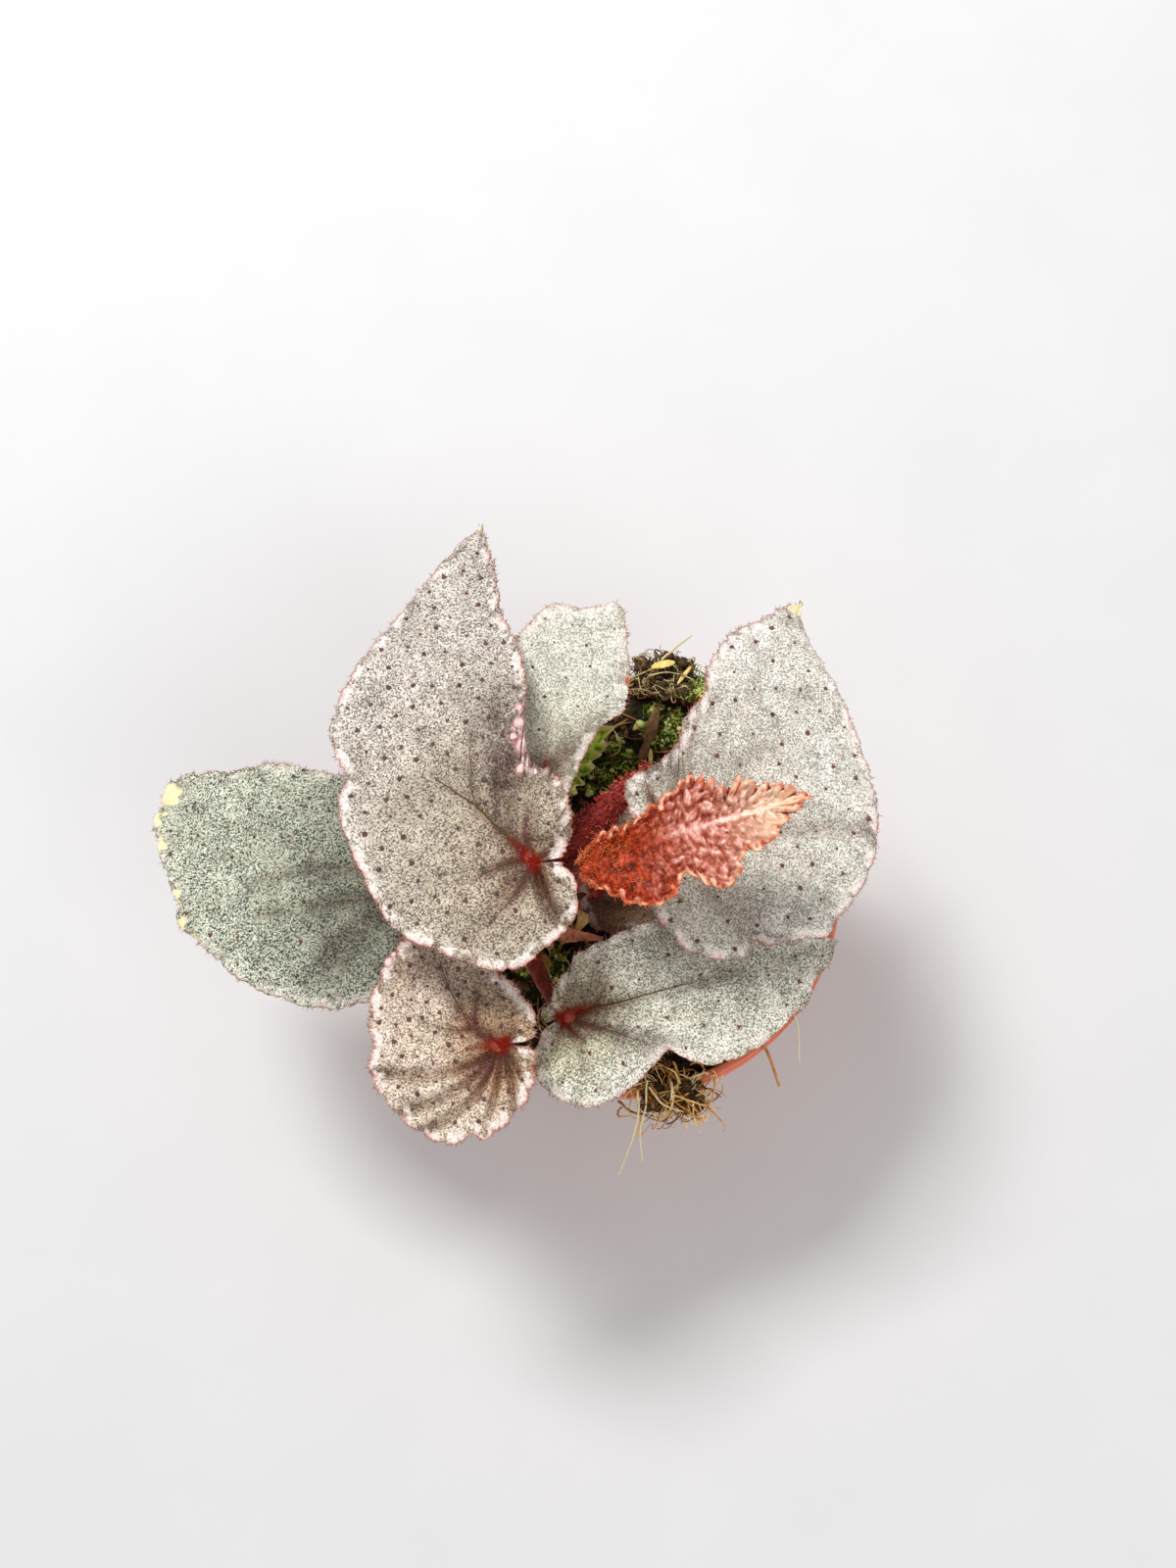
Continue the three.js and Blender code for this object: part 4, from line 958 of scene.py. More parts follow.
def blade(leaf, seed):
    """A leaf blade as (points, faces), its marks, and its upper face."""
    outline, plan, index, facts = lay_out(leaf, seed)
    lift, grooves, marks = relief_of(leaf, outline, plan, facts, seed)
    margin = facts["margin"]
    middle = leaf_point(leaf, plan, lift)
    normal = leaf_normal(leaf, plan)
    half = (BLADE_EDGE + (BLADE_CORE - BLADE_EDGE) * smooth(margin / 2.5)) / 2
    keel = 0.9 * np.maximum(-grooves, 0) * smooth(margin)
    upper = middle + normal * half[:, None]
    lower = middle - normal * (half + keel)[:, None]
    quads = np.stack([index[:-1, :-1], index[1:, :-1], index[1:, 1:], index[:-1, 1:]], -1)
    quads = quads.reshape(-1, 4)
    fans = quads[:, 0] == quads[:, 1]
    faces = quads[~fans].tolist() + quads[fans][:, [0, 2, 3]].tolist()
    border = [index[0, 0], *index[0, 1:], *index[1:-1, -1], *index[-1, :0:-1]]
    shape = np.vstack([upper, lower]), doubled(faces, border[::-1], len(plan))
    top = Surface(leaf, upper, faces)
    top.plan, top.margin, top.share, top.dry = plan, margin, facts["share"], marks["dry"]
    top.edge, top.hub = plan[index[:, -1]], plan[index[:, 0]]
    marks = {name: np.tile(values, 2) for name, values in marks.items()}
    marks["below"] = np.repeat([0, 1], len(plan))
    return shape, marks, top


class Surface:
    """A blade's upper face, to set fine things on."""

    def __init__(self, leaf, points, faces):
        self.leaf = leaf
        self.tree = BVHTree.FromPolygons(points.tolist(), faces)

    def at(self, plan):
        """Places on the face over the plan coordinates, and the normals there."""
        places = leaf_point(self.leaf, plan)
        normals = leaf_normal(self.leaf, plan)
        down = Vector((0, 0, -1))
        for place, normal in zip(places, normals):
            hit, facing, _, _ = self.tree.ray_cast(Vector((*place[:2], ABOVE_ALL)), down)
            if hit is not None:
                place[:] = hit
                normal[:] = facing
        return places, normals


def spaced(points, order, gap, unevenness):
    """Places from the order that keep an uneven gap to one another."""
    chosen = np.empty(0, int)
    for candidate in order:
        reach = gap * (1 + unevenness * (2 * ((candidate * 0.618) % 1) - 1))
        if not len(chosen) or np.hypot(*(points[candidate] - points[chosen]).T).min() > reach:
            chosen = np.append(chosen, candidate)
    return chosen


def spikes(roots, directions, lengths, radius, rng, curl=0.35, steps=4):
    """Fine three-sided tapered hairs from the roots, each bent a little."""
    count = len(roots)
    along = np.linspace(0, 1, steps)
    sway = unit(rng.normal(size=(count, 3))) * curl
    way = directions[:, None] * along[None, :, None] + sway[:, None] * (along ** 2)[None, :, None]
    paths = roots[:, None] + way * lengths[:, None, None]
    radii = np.broadcast_to(radius * (1 - 0.9 * along ** 1.5), (count, steps))
    return tubes(paths, radii, SPIKE_SIDES)


def pustules(leaf, top, rng):
    """Dark pimples on the upper face, each with a bristle, kept clear of the margin."""
    gap, radius = leaf["dots"]
    clear = (top.share < 0.94) & (top.margin > 1.5) & (top.dry < 0.1)
    inside = np.flatnonzero(clear & (np.hypot(*top.plan.T) > 2.5))
    chosen = spaced(top.plan, rng.permutation(inside)[:5000], gap, 0.35)
    roots, normals = top.at(top.plan[chosen])
    size = radius * rng.uniform(0.65, 1.25, len(chosen))
    heights = np.array([-0.2, 0.05, 0.5, 1.0, 1.7])
    girths = np.array([1.25, 1.0, 0.55, 0.3, 0.1])
    lean = unit(normals + rng.normal(scale=0.35, size=normals.shape))
    paths = roots[:, None] + lean[:, None] * (heights[None] * size[:, None])[..., None]
    cones = tubes(paths, girths[None] * size[:, None], 6)
    hairs = spikes(paths[:, 3], lean, rng.uniform(0.4, 0.9, len(chosen)), 0.06, rng)
    return merged([cones, hairs])


def edge_hairs(leaf, top, rng):
    """Short bristles that stand out from the margin."""
    picks = rng.integers(1, len(top.edge) - 1, leaf["hairs"])
    inward = unit(top.hub[picks] - top.edge[picks])
    roots, normals = top.at(top.edge[picks] + 0.08 * inward)
    ahead, _ = top.at(top.edge[picks] + 0.9 * inward)
    outward = unit(roots - ahead)
    direction = unit(outward + rng.normal(scale=0.4, size=outward.shape))
    return spikes(roots - 0.1 * normals, direction, rng.uniform(0.3, 0.95, len(picks)), 0.08, rng)


def ribs(leaf, top):
    """Thin veins along their lines, half sunk in the upper face, and how far from the seat each
    place of them looks: a thin vein loses its red sooner."""
    parts, reach = [], []
    steps, sides = 30, 8
    for line, half, _ in leaf["veins"]:
        plan = curve_through(line, steps)
        places, normals = top.at(plan)
        girth = 0.85 * half * np.linspace(1, 0.3, steps)
        parts.append(tube(places - 0.45 * girth[:, None] * normals, girth, sides))
        reach.append(np.repeat(np.hypot(*plan.T) * max(FULL_RED_VEIN / half, 1) ** 1.5, sides))
    return merged(parts), np.concatenate(reach)


def make_leaf(name, leaf, finishes, rng, seed):
    shape, marks, top = blade(leaf, seed)
    piece(f"leaf_{name}", shape, finishes[name], [f"blade_{name}"], marks)
    hair_finish = finishes["rust_hair" if name == "young" else "edge_hair"]
    piece(f"leaf_edge_{name}", edge_hairs(leaf, top, rng), hair_finish)
    if leaf["dots"]:
        dot_finish = finishes["pale_dot" if name in PALE_DOTTED else "dark_dot"]
        piece(f"leaf_dots_{name}", pustules(leaf, top, rng), dot_finish)
    if leaf["veins"]:
        shape, reach = ribs(leaf, top)
        piece(f"leaf_veins_{name}", shape, finishes["vein"], marks={"seat": reach})
    return top


def stalk_path(leaf):
    """From the socket in the rhizome to just under the blade."""
    base, via = leaf["stalk"]["base"], leaf["stalk"]["via"]
    by_seat = np.array([[1.0, 0.0]])
    normal = leaf_normal(leaf, by_seat)[0]
    end = leaf_point(leaf, by_seat)[0] - SEAT_DROP * normal
    points = [(*base, SOCKET_FLOOR), (*base, SOCKET_FLOOR + STALK_RISE)]
    return [*points, *via, end - 2 * normal, end + 0.6 * normal]


def hairy_rod(points, radii, hair, rng, steps=48, sides=14, lumps=0.08):
    """A lumpy rod along the points, and its hairs: (count, shortest, longest, radius)."""
    path = curve_through(points, steps)
    body_points, faces = tube(path, tapered(radii, steps), sides)
    centres = np.repeat(path, sides, axis=0)
    swell = 1 + lumps * noise(body_points, 1.3, 3) + 0.5 * lumps * noise(body_points, 0.6, 4)
    body_points = centres + (body_points - centres) * swell[:, None]
    count, shortest, longest, hair_radius = hair
    picks = rng.integers(sides, len(body_points) - sides, count)
    outward = unit(body_points[picks] - centres[picks])
    direction = unit(outward + rng.normal(scale=0.4, size=outward.shape))
    lengths = rng.uniform(shortest, longest, count)
    return (body_points, faces), spikes(body_points[picks], direction, lengths, hair_radius, rng)


def lump(rng, centre, size, unevenness=0.25):
    """One small crumb with twenty sides, as (points, faces)."""
    t = (1 + 5 ** 0.5) / 2
    corners = [(-1, t, 0), (1, t, 0), (-1, -t, 0), (1, -t, 0), (0, -1, t), (0, 1, t),
               (0, -1, -t), (0, 1, -t), (t, 0, -1), (t, 0, 1), (-t, 0, -1), (-t, 0, 1)]
    faces = [(0, 11, 5), (0, 5, 1), (0, 1, 7), (0, 7, 10), (0, 10, 11), (1, 5, 9), (5, 11, 4),
             (11, 10, 2), (10, 7, 6), (7, 1, 8), (3, 9, 4), (3, 4, 2), (3, 2, 6), (3, 6, 8),
             (3, 8, 9), (4, 9, 5), (2, 4, 11), (6, 2, 10), (8, 6, 7), (9, 8, 1)]
    corners = unit(np.array(corners)) * (1 + unevenness * rng.normal(size=(len(corners), 1)))
    x, y, z = (corners * size).T
    x, y = turned(x, y, rng.uniform(0, 2 * math.pi))
    return np.stack([x, y, z], 1) + centre, faces


# Pot and soil
def pot_radius_at(height):
    shoulder = POT_TOP_RADIUS - LIP_STEP
    share = height / (POT_HEIGHT - LIP_HEIGHT)
    return POT_BASE_RADIUS + (shoulder - POT_BASE_RADIUS) * share


def make_pot():
    foot = POT_HEIGHT - LIP_HEIGHT
    mouth = POT_TOP_RADIUS - LIP_WALL
    wall = [(pot_radius_at(height), height) for height in np.linspace(4, foot - 0.6, 12)]
    inner = [(pot_radius_at(height) - POT_WALL, height) for height in (foot, 30, POT_FLOOR)]
    # Radius and height, from the underside's middle round the rim to the floor's middle
    profile = [
        (0, 0.6), (DRAIN_RING + 5, 0.6), (POT_BASE_RADIUS - 2.2, 0.5), (POT_BASE_RADIUS - 1.6, 0),
        (POT_BASE_RADIUS - 0.7, 0), (POT_BASE_RADIUS, 0.7), (pot_radius_at(2), 2), *wall,
        (pot_radius_at(foot) + 0.1, foot - 0.1), (POT_TOP_RADIUS - 0.5, foot),
        (POT_TOP_RADIUS, foot + 0.5), (POT_TOP_RADIUS, POT_HEIGHT - 0.9),
        (POT_TOP_RADIUS - 0.2, POT_HEIGHT - 0.25), (POT_TOP_RADIUS - 0.7, POT_HEIGHT),
        (mouth + 0.5, POT_HEIGHT), (mouth + 0.1, POT_HEIGHT - 0.3), (mouth, POT_HEIGHT - 0.8),
        (mouth, foot + 1.2), *inner, (0, POT_FLOOR),
    ]
    points = [(0, 0, profile[0][1])]
    for radius, height in profile[1:-1]:
        points += [(radius * x, radius * y, height) for x, y in zip(*circle(POT_SIDES))]
    points.append((0, 0, profile[-1][1]))
    ids = np.arange(1, len(points) - 1).reshape(-1, POT_SIDES)
    faces = walls(ids)
    for middle, ring in ((0, ids[0, ::-1]), (len(points) - 1, ids[-1])):
        faces += [[middle, a, b] for a, b in zip(ring, np.roll(ring, -1))]
    pot = piece("pot_shell", (points, faces), pot_finish(), ["pot"])
    for hole in range(DRAIN_HOLES):
        x, y = turned(DRAIN_RING * MM, 0, hole / DRAIN_HOLES * 2 * math.pi)
        bpy.ops.mesh.primitive_cylinder_add(
            vertices=32, radius=DRAIN_RADIUS * MM, depth=0.01, location=(x, y, 0)
        )
        cutter = bpy.context.object
        cut = pot.modifiers.new("drain", "BOOLEAN")
        cut.operation = "DIFFERENCE"
        cut.object = cutter
        bpy.context.view_layer.objects.active = pot
        bpy.ops.object.modifier_apply(modifier=cut.name)
        bpy.data.objects.remove(cutter)
    pot.modifiers.new("edges", "WEIGHTED_NORMAL").keep_sharp = True


def soil_height(x, y):
    heap = 1 - (x * x + y * y) / POT_TOP_RADIUS ** 2
    lumps = np.sin(0.9 * x + 0.4 * y) * np.sin(0.8 * y - 0.5 * x + 1)
    crumbs = np.sin(1.7 * x - 1.1 * y + 2) * np.cos(1.9 * y + 0.6 * x)
    return SOIL_EDGE_HEIGHT + SOIL_HEAP * heap + SOIL_BUMP * (0.6 * lumps + 0.4 * crumbs)


MOSS_PATCHES = [
    ((-3, 21), 7), ((8, 29), 7), ((3, 14), 5), ((12, 24), 4), ((-15, -15), 6), ((20, 5), 6),
    ((-5, -25), 6), ((18, -18), 7), ((-27, 14), 6), ((-20, 24), 5), ((4, 4), 4), ((28, -6), 4),
]
RIM_MOSS = (11.6, 34.6, 62.2)


def mossy(x, y):
    """How mossy the soil is at a place, from 0 to 1."""
    share = np.zeros(np.shape(x))
    for (patch_x, patch_y), radius in MOSS_PATCHES:
        away = np.hypot(x - patch_x, y - patch_y) / radius
        share = np.maximum(share, 1 - away ** 2)
    return smooth(share + 0.35 * noise(np.stack([x, y], -1), 2.0, 8))


def make_soil():
    sides, rings = 220, 72
    cosines, sines = circle(sides)
    radii = SOIL_RADIUS * np.sqrt(np.linspace(0.0004, 1, rings))[:, None]
    x, y = radii * cosines, radii * sines
    flat = np.stack([x, y], -1)
    rough = 0.5 * noise(flat, 1.6, 1) + 0.35 * noise(flat, 0.8, 2) + 0.2 * noise(flat, 0.45, 3)
    height = soil_height(x, y) + rough - 0.8 * smooth((radii - SOIL_RADIUS + 1.5) / 1.5)
    surface = [np.stack([x, y, height], -1).reshape(-1, 3)]
    for radius, level in SOIL_SKIRT:
        surface.append(np.stack([radius * cosines, radius * sines, np.full(sides, level)], -1))
    points = np.vstack(surface)
    faces = closed(np.arange(len(points)).reshape(-1, sides)[::-1])
    green = np.r_[mossy(x, y).ravel(), np.zeros(len(SOIL_SKIRT) * sides)]
    f = Finish("potting_mix", {"IOR": 1.4, "Roughness": 0.95})
    earth = f.mix(f.span(f.noise(1.2, 5, 0.7), 0.4, 0.62), "120d07", "3f3018")
    moss = f.mix(f.noise(0.7, 3), "24300c", "5f7c1e")
    f.into("Base Color", f.mix(f.times(f.mark("green"), 0.8), earth, moss))
    f.bump(f.noise(0.5, 5, 0.7), 0.5)
    piece("soil_bed", (points, faces), f.material, ["soil"], {"green": green})


def on_soil(rng, count, radius=33.5):
    """Random places on the soil, clear of the rhizome."""
    places = []
    while len(places) < count:
        x, y = rng.uniform(-radius, radius, 2)
        along, across = turned(
            x - RHIZOME_MIDDLE[0], y - RHIZOME_MIDDLE[1], -math.radians(RHIZOME_HEADING)
        )
        by_rhizome = math.hypot(along / RHIZOME_CLEARANCE[0], across / RHIZOME_CLEARANCE[1])
        if math.hypot(x, y) < radius and by_rhizome > 1:
            places.append((x, y))
    x, y = np.array(places).T
    return np.stack([x, y, soil_height(x, y)], 1)


def make_crumbs(rng):
    parts = []
    for place in on_soil(rng, 900):
        size = rng.uniform(0.35, 1.3) * np.array([1, rng.uniform(0.5, 1), rng.uniform(0.4, 0.8)])
        parts.append(lump(rng, place + [0, 0, 0.25 * size[2]], size))
    tone = np.repeat(rng.uniform(0, 1, len(parts)), len(parts[0][0]))
    finish = mottled_finish("soil_crumb", ("150f08", "3b2a14", "6d4f2a"), 0.8, 0.2, "tone", MATT)
    piece("soil_crumbs", merged(parts), finish, marks={"tone": tone})


def make_moss(rng):
    """Tufts of little pointed leaves where the soil is mossy."""
    places = on_soil(rng, 2600, 33)
    places = places[mossy(places[:, 0], places[:, 1]) > rng.uniform(0.25, 0.8, len(places))]
    over_rim = np.array(RIM_MOSS) + rng.normal(scale=(1.5, 1.1, 0.2), size=(70, 3))
    places = np.vstack([places, over_rim])
    leaves, steps = 9, 3
    roots = np.repeat(places, leaves, axis=0)
    roots = roots + rng.normal(scale=(0.35, 0.35, 0.1), size=roots.shape)
    lean = rng.normal(scale=0.55, size=roots.shape)
    direction = unit(lean * [1, 1, 0.3] + [0, 0, 0.8])
    lengths = rng.uniform(0.6, 1.7, len(roots))
    shape = spikes(roots, direction, lengths, 0.2, rng, 0.5, steps)
    tone = np.repeat(rng.uniform(0, 1, len(places)), leaves * steps * SPIKE_SIDES)
    finish = mottled_finish("moss", ("4e6a10", "b4d238", "fbfeae"), 0.8, 0.05, "tone")
    piece("moss", shape, finish, marks={"tone": tone})


# Fibres
def clear_of_pot(paths):
    """Lifts points that would lie in the rim or the soil."""
    x, y, z = np.moveaxis(paths, -1, 0)
    radius = np.hypot(x, y)
    floor = np.where(radius < RIM_INSIDE, soil_height(x, y) + 0.1, POT_HEIGHT + 0.3)
    floor = np.where(radius > RIM_OUTSIDE, POT_HEIGHT - LIP_HEIGHT, floor)
    return np.stack([x, y, np.maximum(z, floor)], -1)


def tangle(rng, middle, size, count, steps, length, curl, pull):
    """Wandering strands, pulled back into a lens of that half size."""
    here = middle + rng.normal(scale=0.45, size=(count, 3)) * size
    heading = unit(rng.normal(size=(count, 3)) * [1, 1, 0.4])
    stride = rng.uniform(*length, count)[:, None] / (steps - 1)
    path = [here]
    for _ in range(steps - 1):
        off = (here - middle) / size
        back = -off * np.maximum(np.linalg.norm(off, axis=1, keepdims=True) - 0.8, 0)
        turn = rng.normal(scale=curl, size=heading.shape)
        heading = unit(heading + turn * [1, 1, 0.5] + pull * back)
        here = here + heading * stride
        path.append(here)
    return clear_of_pot(np.stack(path, axis=1))


KNOT_LUMPS = 90
HOLLOW_RADIUS = 2.6
# A strand is (line, radius, tone), and a tone runs from dark at 0 to pale at 1.
CLUMPS = {
    "front": {
        "middle": (7.4, -37.4, 62.3), "size": (6.4, 3.6, 2.1), "fine": 200, "stray": 26,
        "core": (5.2, 2.4, 1.2), "hollow": (8.6, -31.6), "curl": 0.1,
        "length": (2, 7), "pull": 0.3,
        "strands": [
            ([(-1.7, -38.1, 60.8), (0.5, -39.9, 61.2), (2.1, -40.3, 61.4), (5.6, -40.8, 61.3)],
             0.3, 0.3),
            ([(7, -35.1, 65), (7.4, -37.9, 65), (6.8, -40, 63.4), (5.5, -41.3, 61)], 0.32, 0.8),
            ([(7.3, -37.2, 65.2), (10.2, -38.3, 65), (14.9, -39.5, 61.8)], 0.24, 0.7),
            ([(14.3, -32.8, 62.6), (14.4, -36.5, 64.5), (13.1, -39.9, 61.4)], 0.22, 0.6),
            ([(10.7, -38.8, 64.6), (11.1, -41.2, 62.6), (12.2, -43.3, 58.5)], 0.2, 0.7),
            ([(11.5, -38.3, 64.6), (12.9, -41.3, 62)], 0.16, 0.6),
            ([(1.6, -36.5, 64.6), (1.6, -40.7, 63.4), (0.5, -44.9, 60), (-1.6, -50.3, 56)],
             0.24, 0.95),
            ([(3.1, -34.9, 64.8), (2.8, -39.3, 64), (2, -42.9, 61.4), (2.4, -47.9, 56)],
             0.22, 0.95),
            ([(3.4, -36, 65.2), (5.6, -38.8, 65), (9.6, -40.2, 63.2)], 0.28, 0.75),
        ],
        "tones": ("7e4612", "e4a044", "fdeab0"),
    },
    "back": {
        "middle": (6.6, 36.8, 62.4), "size": (6.4, 3.6, 2.1), "fine": 210, "stray": 8,
        "core": (6.4, 3.6, 1.6), "hollow": (20, 20), "curl": 0.25,
        "length": (2.5, 9), "pull": 0.9,
        "strands": [
            ([(6.2, 39, 65), (8.8, 41.1, 66), (11.6, 43.6, 65)], 0.3, 1.0),
            ([(4.1, 36.1, 65.2), (7, 36.5, 65.6), (10.4, 36.2, 65)], 0.2, 0.75),
            ([(0.8, 34, 63.4), (3, 33.8, 64), (5.4, 33.1, 63.4)], 0.16, 0.7),
            ([(9.1, 33.9, 62.6), (10.3, 34.5, 64.2), (11.8, 33.5, 62.6)], 0.26, 1.0),
        ],
        "tones": ("2e200e", "866a3a", "dccb92"),
    },
}


def make_clump(name, clump, rng):
    """Dark crumbs, a tangle of fine strands over them, and the thick strands one by one."""
    middle, size = np.array(clump["middle"]), np.array(clump["size"])
    core = []
    while len(core) < KNOT_LUMPS:
        place = middle + rng.uniform(-0.9, 0.9, 3) * clump["core"]
        place[2] = max(place[2], POT_HEIGHT + 1.2)
        if math.dist(place[:2], clump["hollow"]) > HOLLOW_RADIUS:
            core.append(lump(rng, place, rng.uniform(0.4, 1.2) * np.array([1.2, 1, 0.7])))
    earth = mottled_finish(f"knot_{name}", ("1a1008", "4c361a", "866840"), 0.8, 0.3, None, MATT)
    piece(f"earth_knot_{name}", merged(core), earth)
    # Count, half size of the lens, radius, curl and darkest tone: most, then those that stray
    kinds = [
        (clump["fine"], size, 0.1, clump["curl"], 0.0),
        (clump["stray"], 1.2 * size, 0.13, 0.1, 0.5),
    ]
    steps, sides = 11, 5
    parts, tone = [], []
    for count, reach, girth, curl, darkest in kinds:
        paths = tangle(rng, middle, reach, count, steps, clump["length"], curl, clump["pull"])
        widths = girth * rng.uniform(0.4, 2, (count, 1)) * np.linspace(1, 0.5, steps)
        parts.append(tubes(paths, widths, sides))
        tone.append(np.repeat(rng.uniform(darkest, 1, count), steps * sides))
    steps, sides = 22, 7
    for line, radius, value in clump["strands"]:
        path = curve_through(line, steps)
        path += 0.12 * np.stack([noise(path, 1.5, seed) for seed in (41, 42, 43)], 1)
        parts.append(tube(path, radius * np.linspace(0.8, 0.4, steps), sides))
        tone.append(np.full(steps * sides, value))
    finish = mottled_finish(f"coir_{name}", clump["tones"], 1.0, 0.08, "tone", MATT)
    piece(f"coir_{name}", merged(parts), finish, [f"fibres_{name}"],
          {"tone": np.concatenate(tone)})


LOOSE = {
    "twig": ([(18, -22, 59), (23.3, -28.8, 61), (26, -35.5, 58.5)], 0.4, ("a4602a", "d98f4a")),
    "pale_root": ([(23, -18, 59), (28.6, -23.6, 60.8), (29.6, -31.5, 58)], 0.24,
                  ("c4b080", "f4e8c4")),
}


def make_loose(rng):
    """The twig and the pale root, then litter all over the soil."""
    for name, (line, radius, tones) in LOOSE.items():
        path = curve_through(line, 30)
        girth = radius * (1 + 0.15 * noise(path, 1.2, 6)) * np.linspace(1, 0.55, 30)
        finish = mottled_finish(f"{name}_skin", tones, 0.9, 0.1)
        piece(f"{name}_strand", tube(path, girth, 8), finish, [name])
    litter = on_soil(rng, 130, 32)
    heading = rng.uniform(0, 2 * math.pi, len(litter))
    way = np.stack([np.cos(heading), np.sin(heading)], 1)
    side = np.stack([-way[:, 1], way[:, 0]], 1)
    length = rng.uniform(3, 11, (len(litter), 1))
    steps, sides = 9, 4
    along = np.linspace(-0.5, 0.5, steps)[:, None]
    bow = rng.normal(scale=0.25, size=(len(litter), 1))
    flat = litter[:, None, :2] + (way * length)[:, None] * along
    flat += (side * bow * length)[:, None] * along ** 2 * 4
    flat = flat[np.hypot(flat[..., 0], flat[..., 1]).max(1) < 34]
    lift = 0.45 + 0.4 * rng.uniform(0, 1, (len(flat), 1))
    paths = np.dstack([flat, soil_height(flat[..., 0], flat[..., 1]) + lift])
    widths = rng.uniform(0.07, 0.22, (len(paths), 1)) * np.array([0.4, *[1] * (steps - 2), 0.4])
    tone = np.repeat(rng.uniform(0, 1, len(paths)), steps * sides)
    finish = mottled_finish("litter", ("5a3a18", "a9783a", "e9d39a"), 1.0, 0.05, "tone", MATT)
    piece("soil_fibres", tubes(paths, widths, sides), finish, marks={"tone": tone})


FLAKES = [
    # Start, end, width
    ((4.3, 37.5, 65.4), (8.6, 38.2, 66.2), 1.5), ((9, 34.7, 64.2), (11.5, 38, 64.4), 0.8),
    ((4.3, 23.9, 60.6), (4.2, 20, 60.8), 0.8), ((1.2, 27.5, 59.6), (3, 29.2, 59.9), 1.0),
]
PALE_BITS = [
    # Place, half size
    ((2.6, 28.5, 60.2), (1.1, 0.75, 0.3)), ((6.4, 25.4, 60.4), (0.4, 0.3, 0.3)),
    ((7.8, 28.3, 60.2), (0.45, 0.3, 0.3)), ((-6.7, 15.6, 61.2), (0.9, 0.7, 0.6)),
    ((4.6, 24.9, 60.4), (0.35, 0.3, 0.3)), ((0.6, 23.4, 60.6), (0.4, 0.3, 0.3)),
]


def make_straws(rng):
    """Flat straw-coloured flakes beside the back clump, pale green bits and a bark sliver."""
    parts = [strip(start, end, width, 0.2) for start, end, width in FLAKES]
    finish = mottled_finish("straw", ("c49a44", "ecd070", "fbf0b0"), 1.2, 0.1)
    piece("straw_flakes", merged(parts), finish)
    bits = [lump(rng, place, size, 0.08) for place, size in PALE_BITS]
    for place in on_soil(rng, 420, 33):
        if mossy(*place[:2]) > 0.4:
            size = rng.uniform(0.2, 0.5) * np.array([1.2, 1, 0.6])
            bits.append(lump(rng, place + [0, 0, 1], size, 0.15))
    finish = mottled_finish("pale_bits", ("bcd654", "e4f08c", "fbffdc"), 0.8, 0.1, None, GLOSSY)
    piece("pale_bits", merged(bits), finish)
    finish = mottled_finish("bark", ("4a3320", "83603a", "b0895a"), 0.9, 0.3, None, MATT)
    shape = strip((2.2, 20, 60.4), (5.8, 32, 60), 2.1, 0.8, 0.35)
    piece("bark_sliver", shape, finish, ["bark_chip"])


def strip(start, end, width, thickness, rough=0.12):
    """A flat sliver, pointed at both ends, with an uneven edge."""
    steps, sides = 16, 10
    start, end = np.array(start, float), np.array(end, float)
    along = unit(end - start)
    across = unit(np.cross([0, 0, 1], along))
    up = np.cross(along, across)
    share = np.linspace(0, 1, steps)[:, None]
    breadth = np.maximum(np.sin(math.pi * share) ** 0.5, 0.06)
    breadth = breadth * (1 + rough * noise(share * steps, 2, int(width * 10)))[:, None]
    middle = start + (end - start) * share + up * 0.4 * np.sin(math.pi * share)
    cosines, sines = circle(sides)
    ring = across * cosines[:, None] * width / 2 + up * sines[:, None] * thickness / 2
    points = middle[:, None] + breadth[:, None] * ring
    return points.reshape(-1, 3), closed(np.arange(steps * sides).reshape(steps, sides))


# Plant parts other than blades; hairs are (count, shortest, longest, radius)
STALK_HAIR = (170, 0.5, 1.5, 0.06)
FOLDED_HAIR = (1800, 0.4, 1.2, 0.15)
FOLDED_LEAF = {
    "base": (-14.3, 1.2), "rise": 3.65,
    "via": [(-14, 1.6, 70), (-10.4, 2.2, 79.5), (-5.3, 6.5, 82.3), (0, 11.5, 84),
            (3.5, 15, 84.6)],
    "radii": [1.5, 1.4, 1.7, 2.2, 2.3, 1.9, 0.6],
}
SCALE_THICKNESS = 0.22
SCALE_TONES = {
    "tan": ("a87434", "dcb468", "f2e4b0"),
    "green": ("9c9038", "d6c860", "f4efb0"),
    "salmon": ("b8583c", "e89a78", "fbcab0"),
}
# A papery scale is (line, half widths, tone, the CAD nodes that it stands for).
SCALES = {
    "papery_leaflet": ([(-16.8, -13, 59.6), (-15.4, -15.2, 64.5), (-13.6, -18.6, 68.5)],
                       (1.6, 2.2, 0.25), "green", ["stipule_1"]),
    "papery_bract": ([(-11.6, -8.8, 60.2), (-10.2, -9.9, 65), (-8.4, -11.6, 68.5)],
                     (1.4, 2.2, 0.3), "tan", ["stipule_2"]),
    "papery_strap": ([(-14.4, -10.9, 59.8), (-12.6, -10.6, 70), (-10, -11.6, 74.8),
                      (-4.4, -12.6, 77)], (1.5, 1.6, 1.2, 0.3), "salmon", ["stipule_3"]),
    "papery_veil": ([(-9.6, -4.4, 61), (-7.2, -6, 70.5), (-7.6, -8.6, 73.4), (-9, -11.4, 73.6)],
                    (1.2, 1.5, 1.7, 0.3), "tan", []),
}


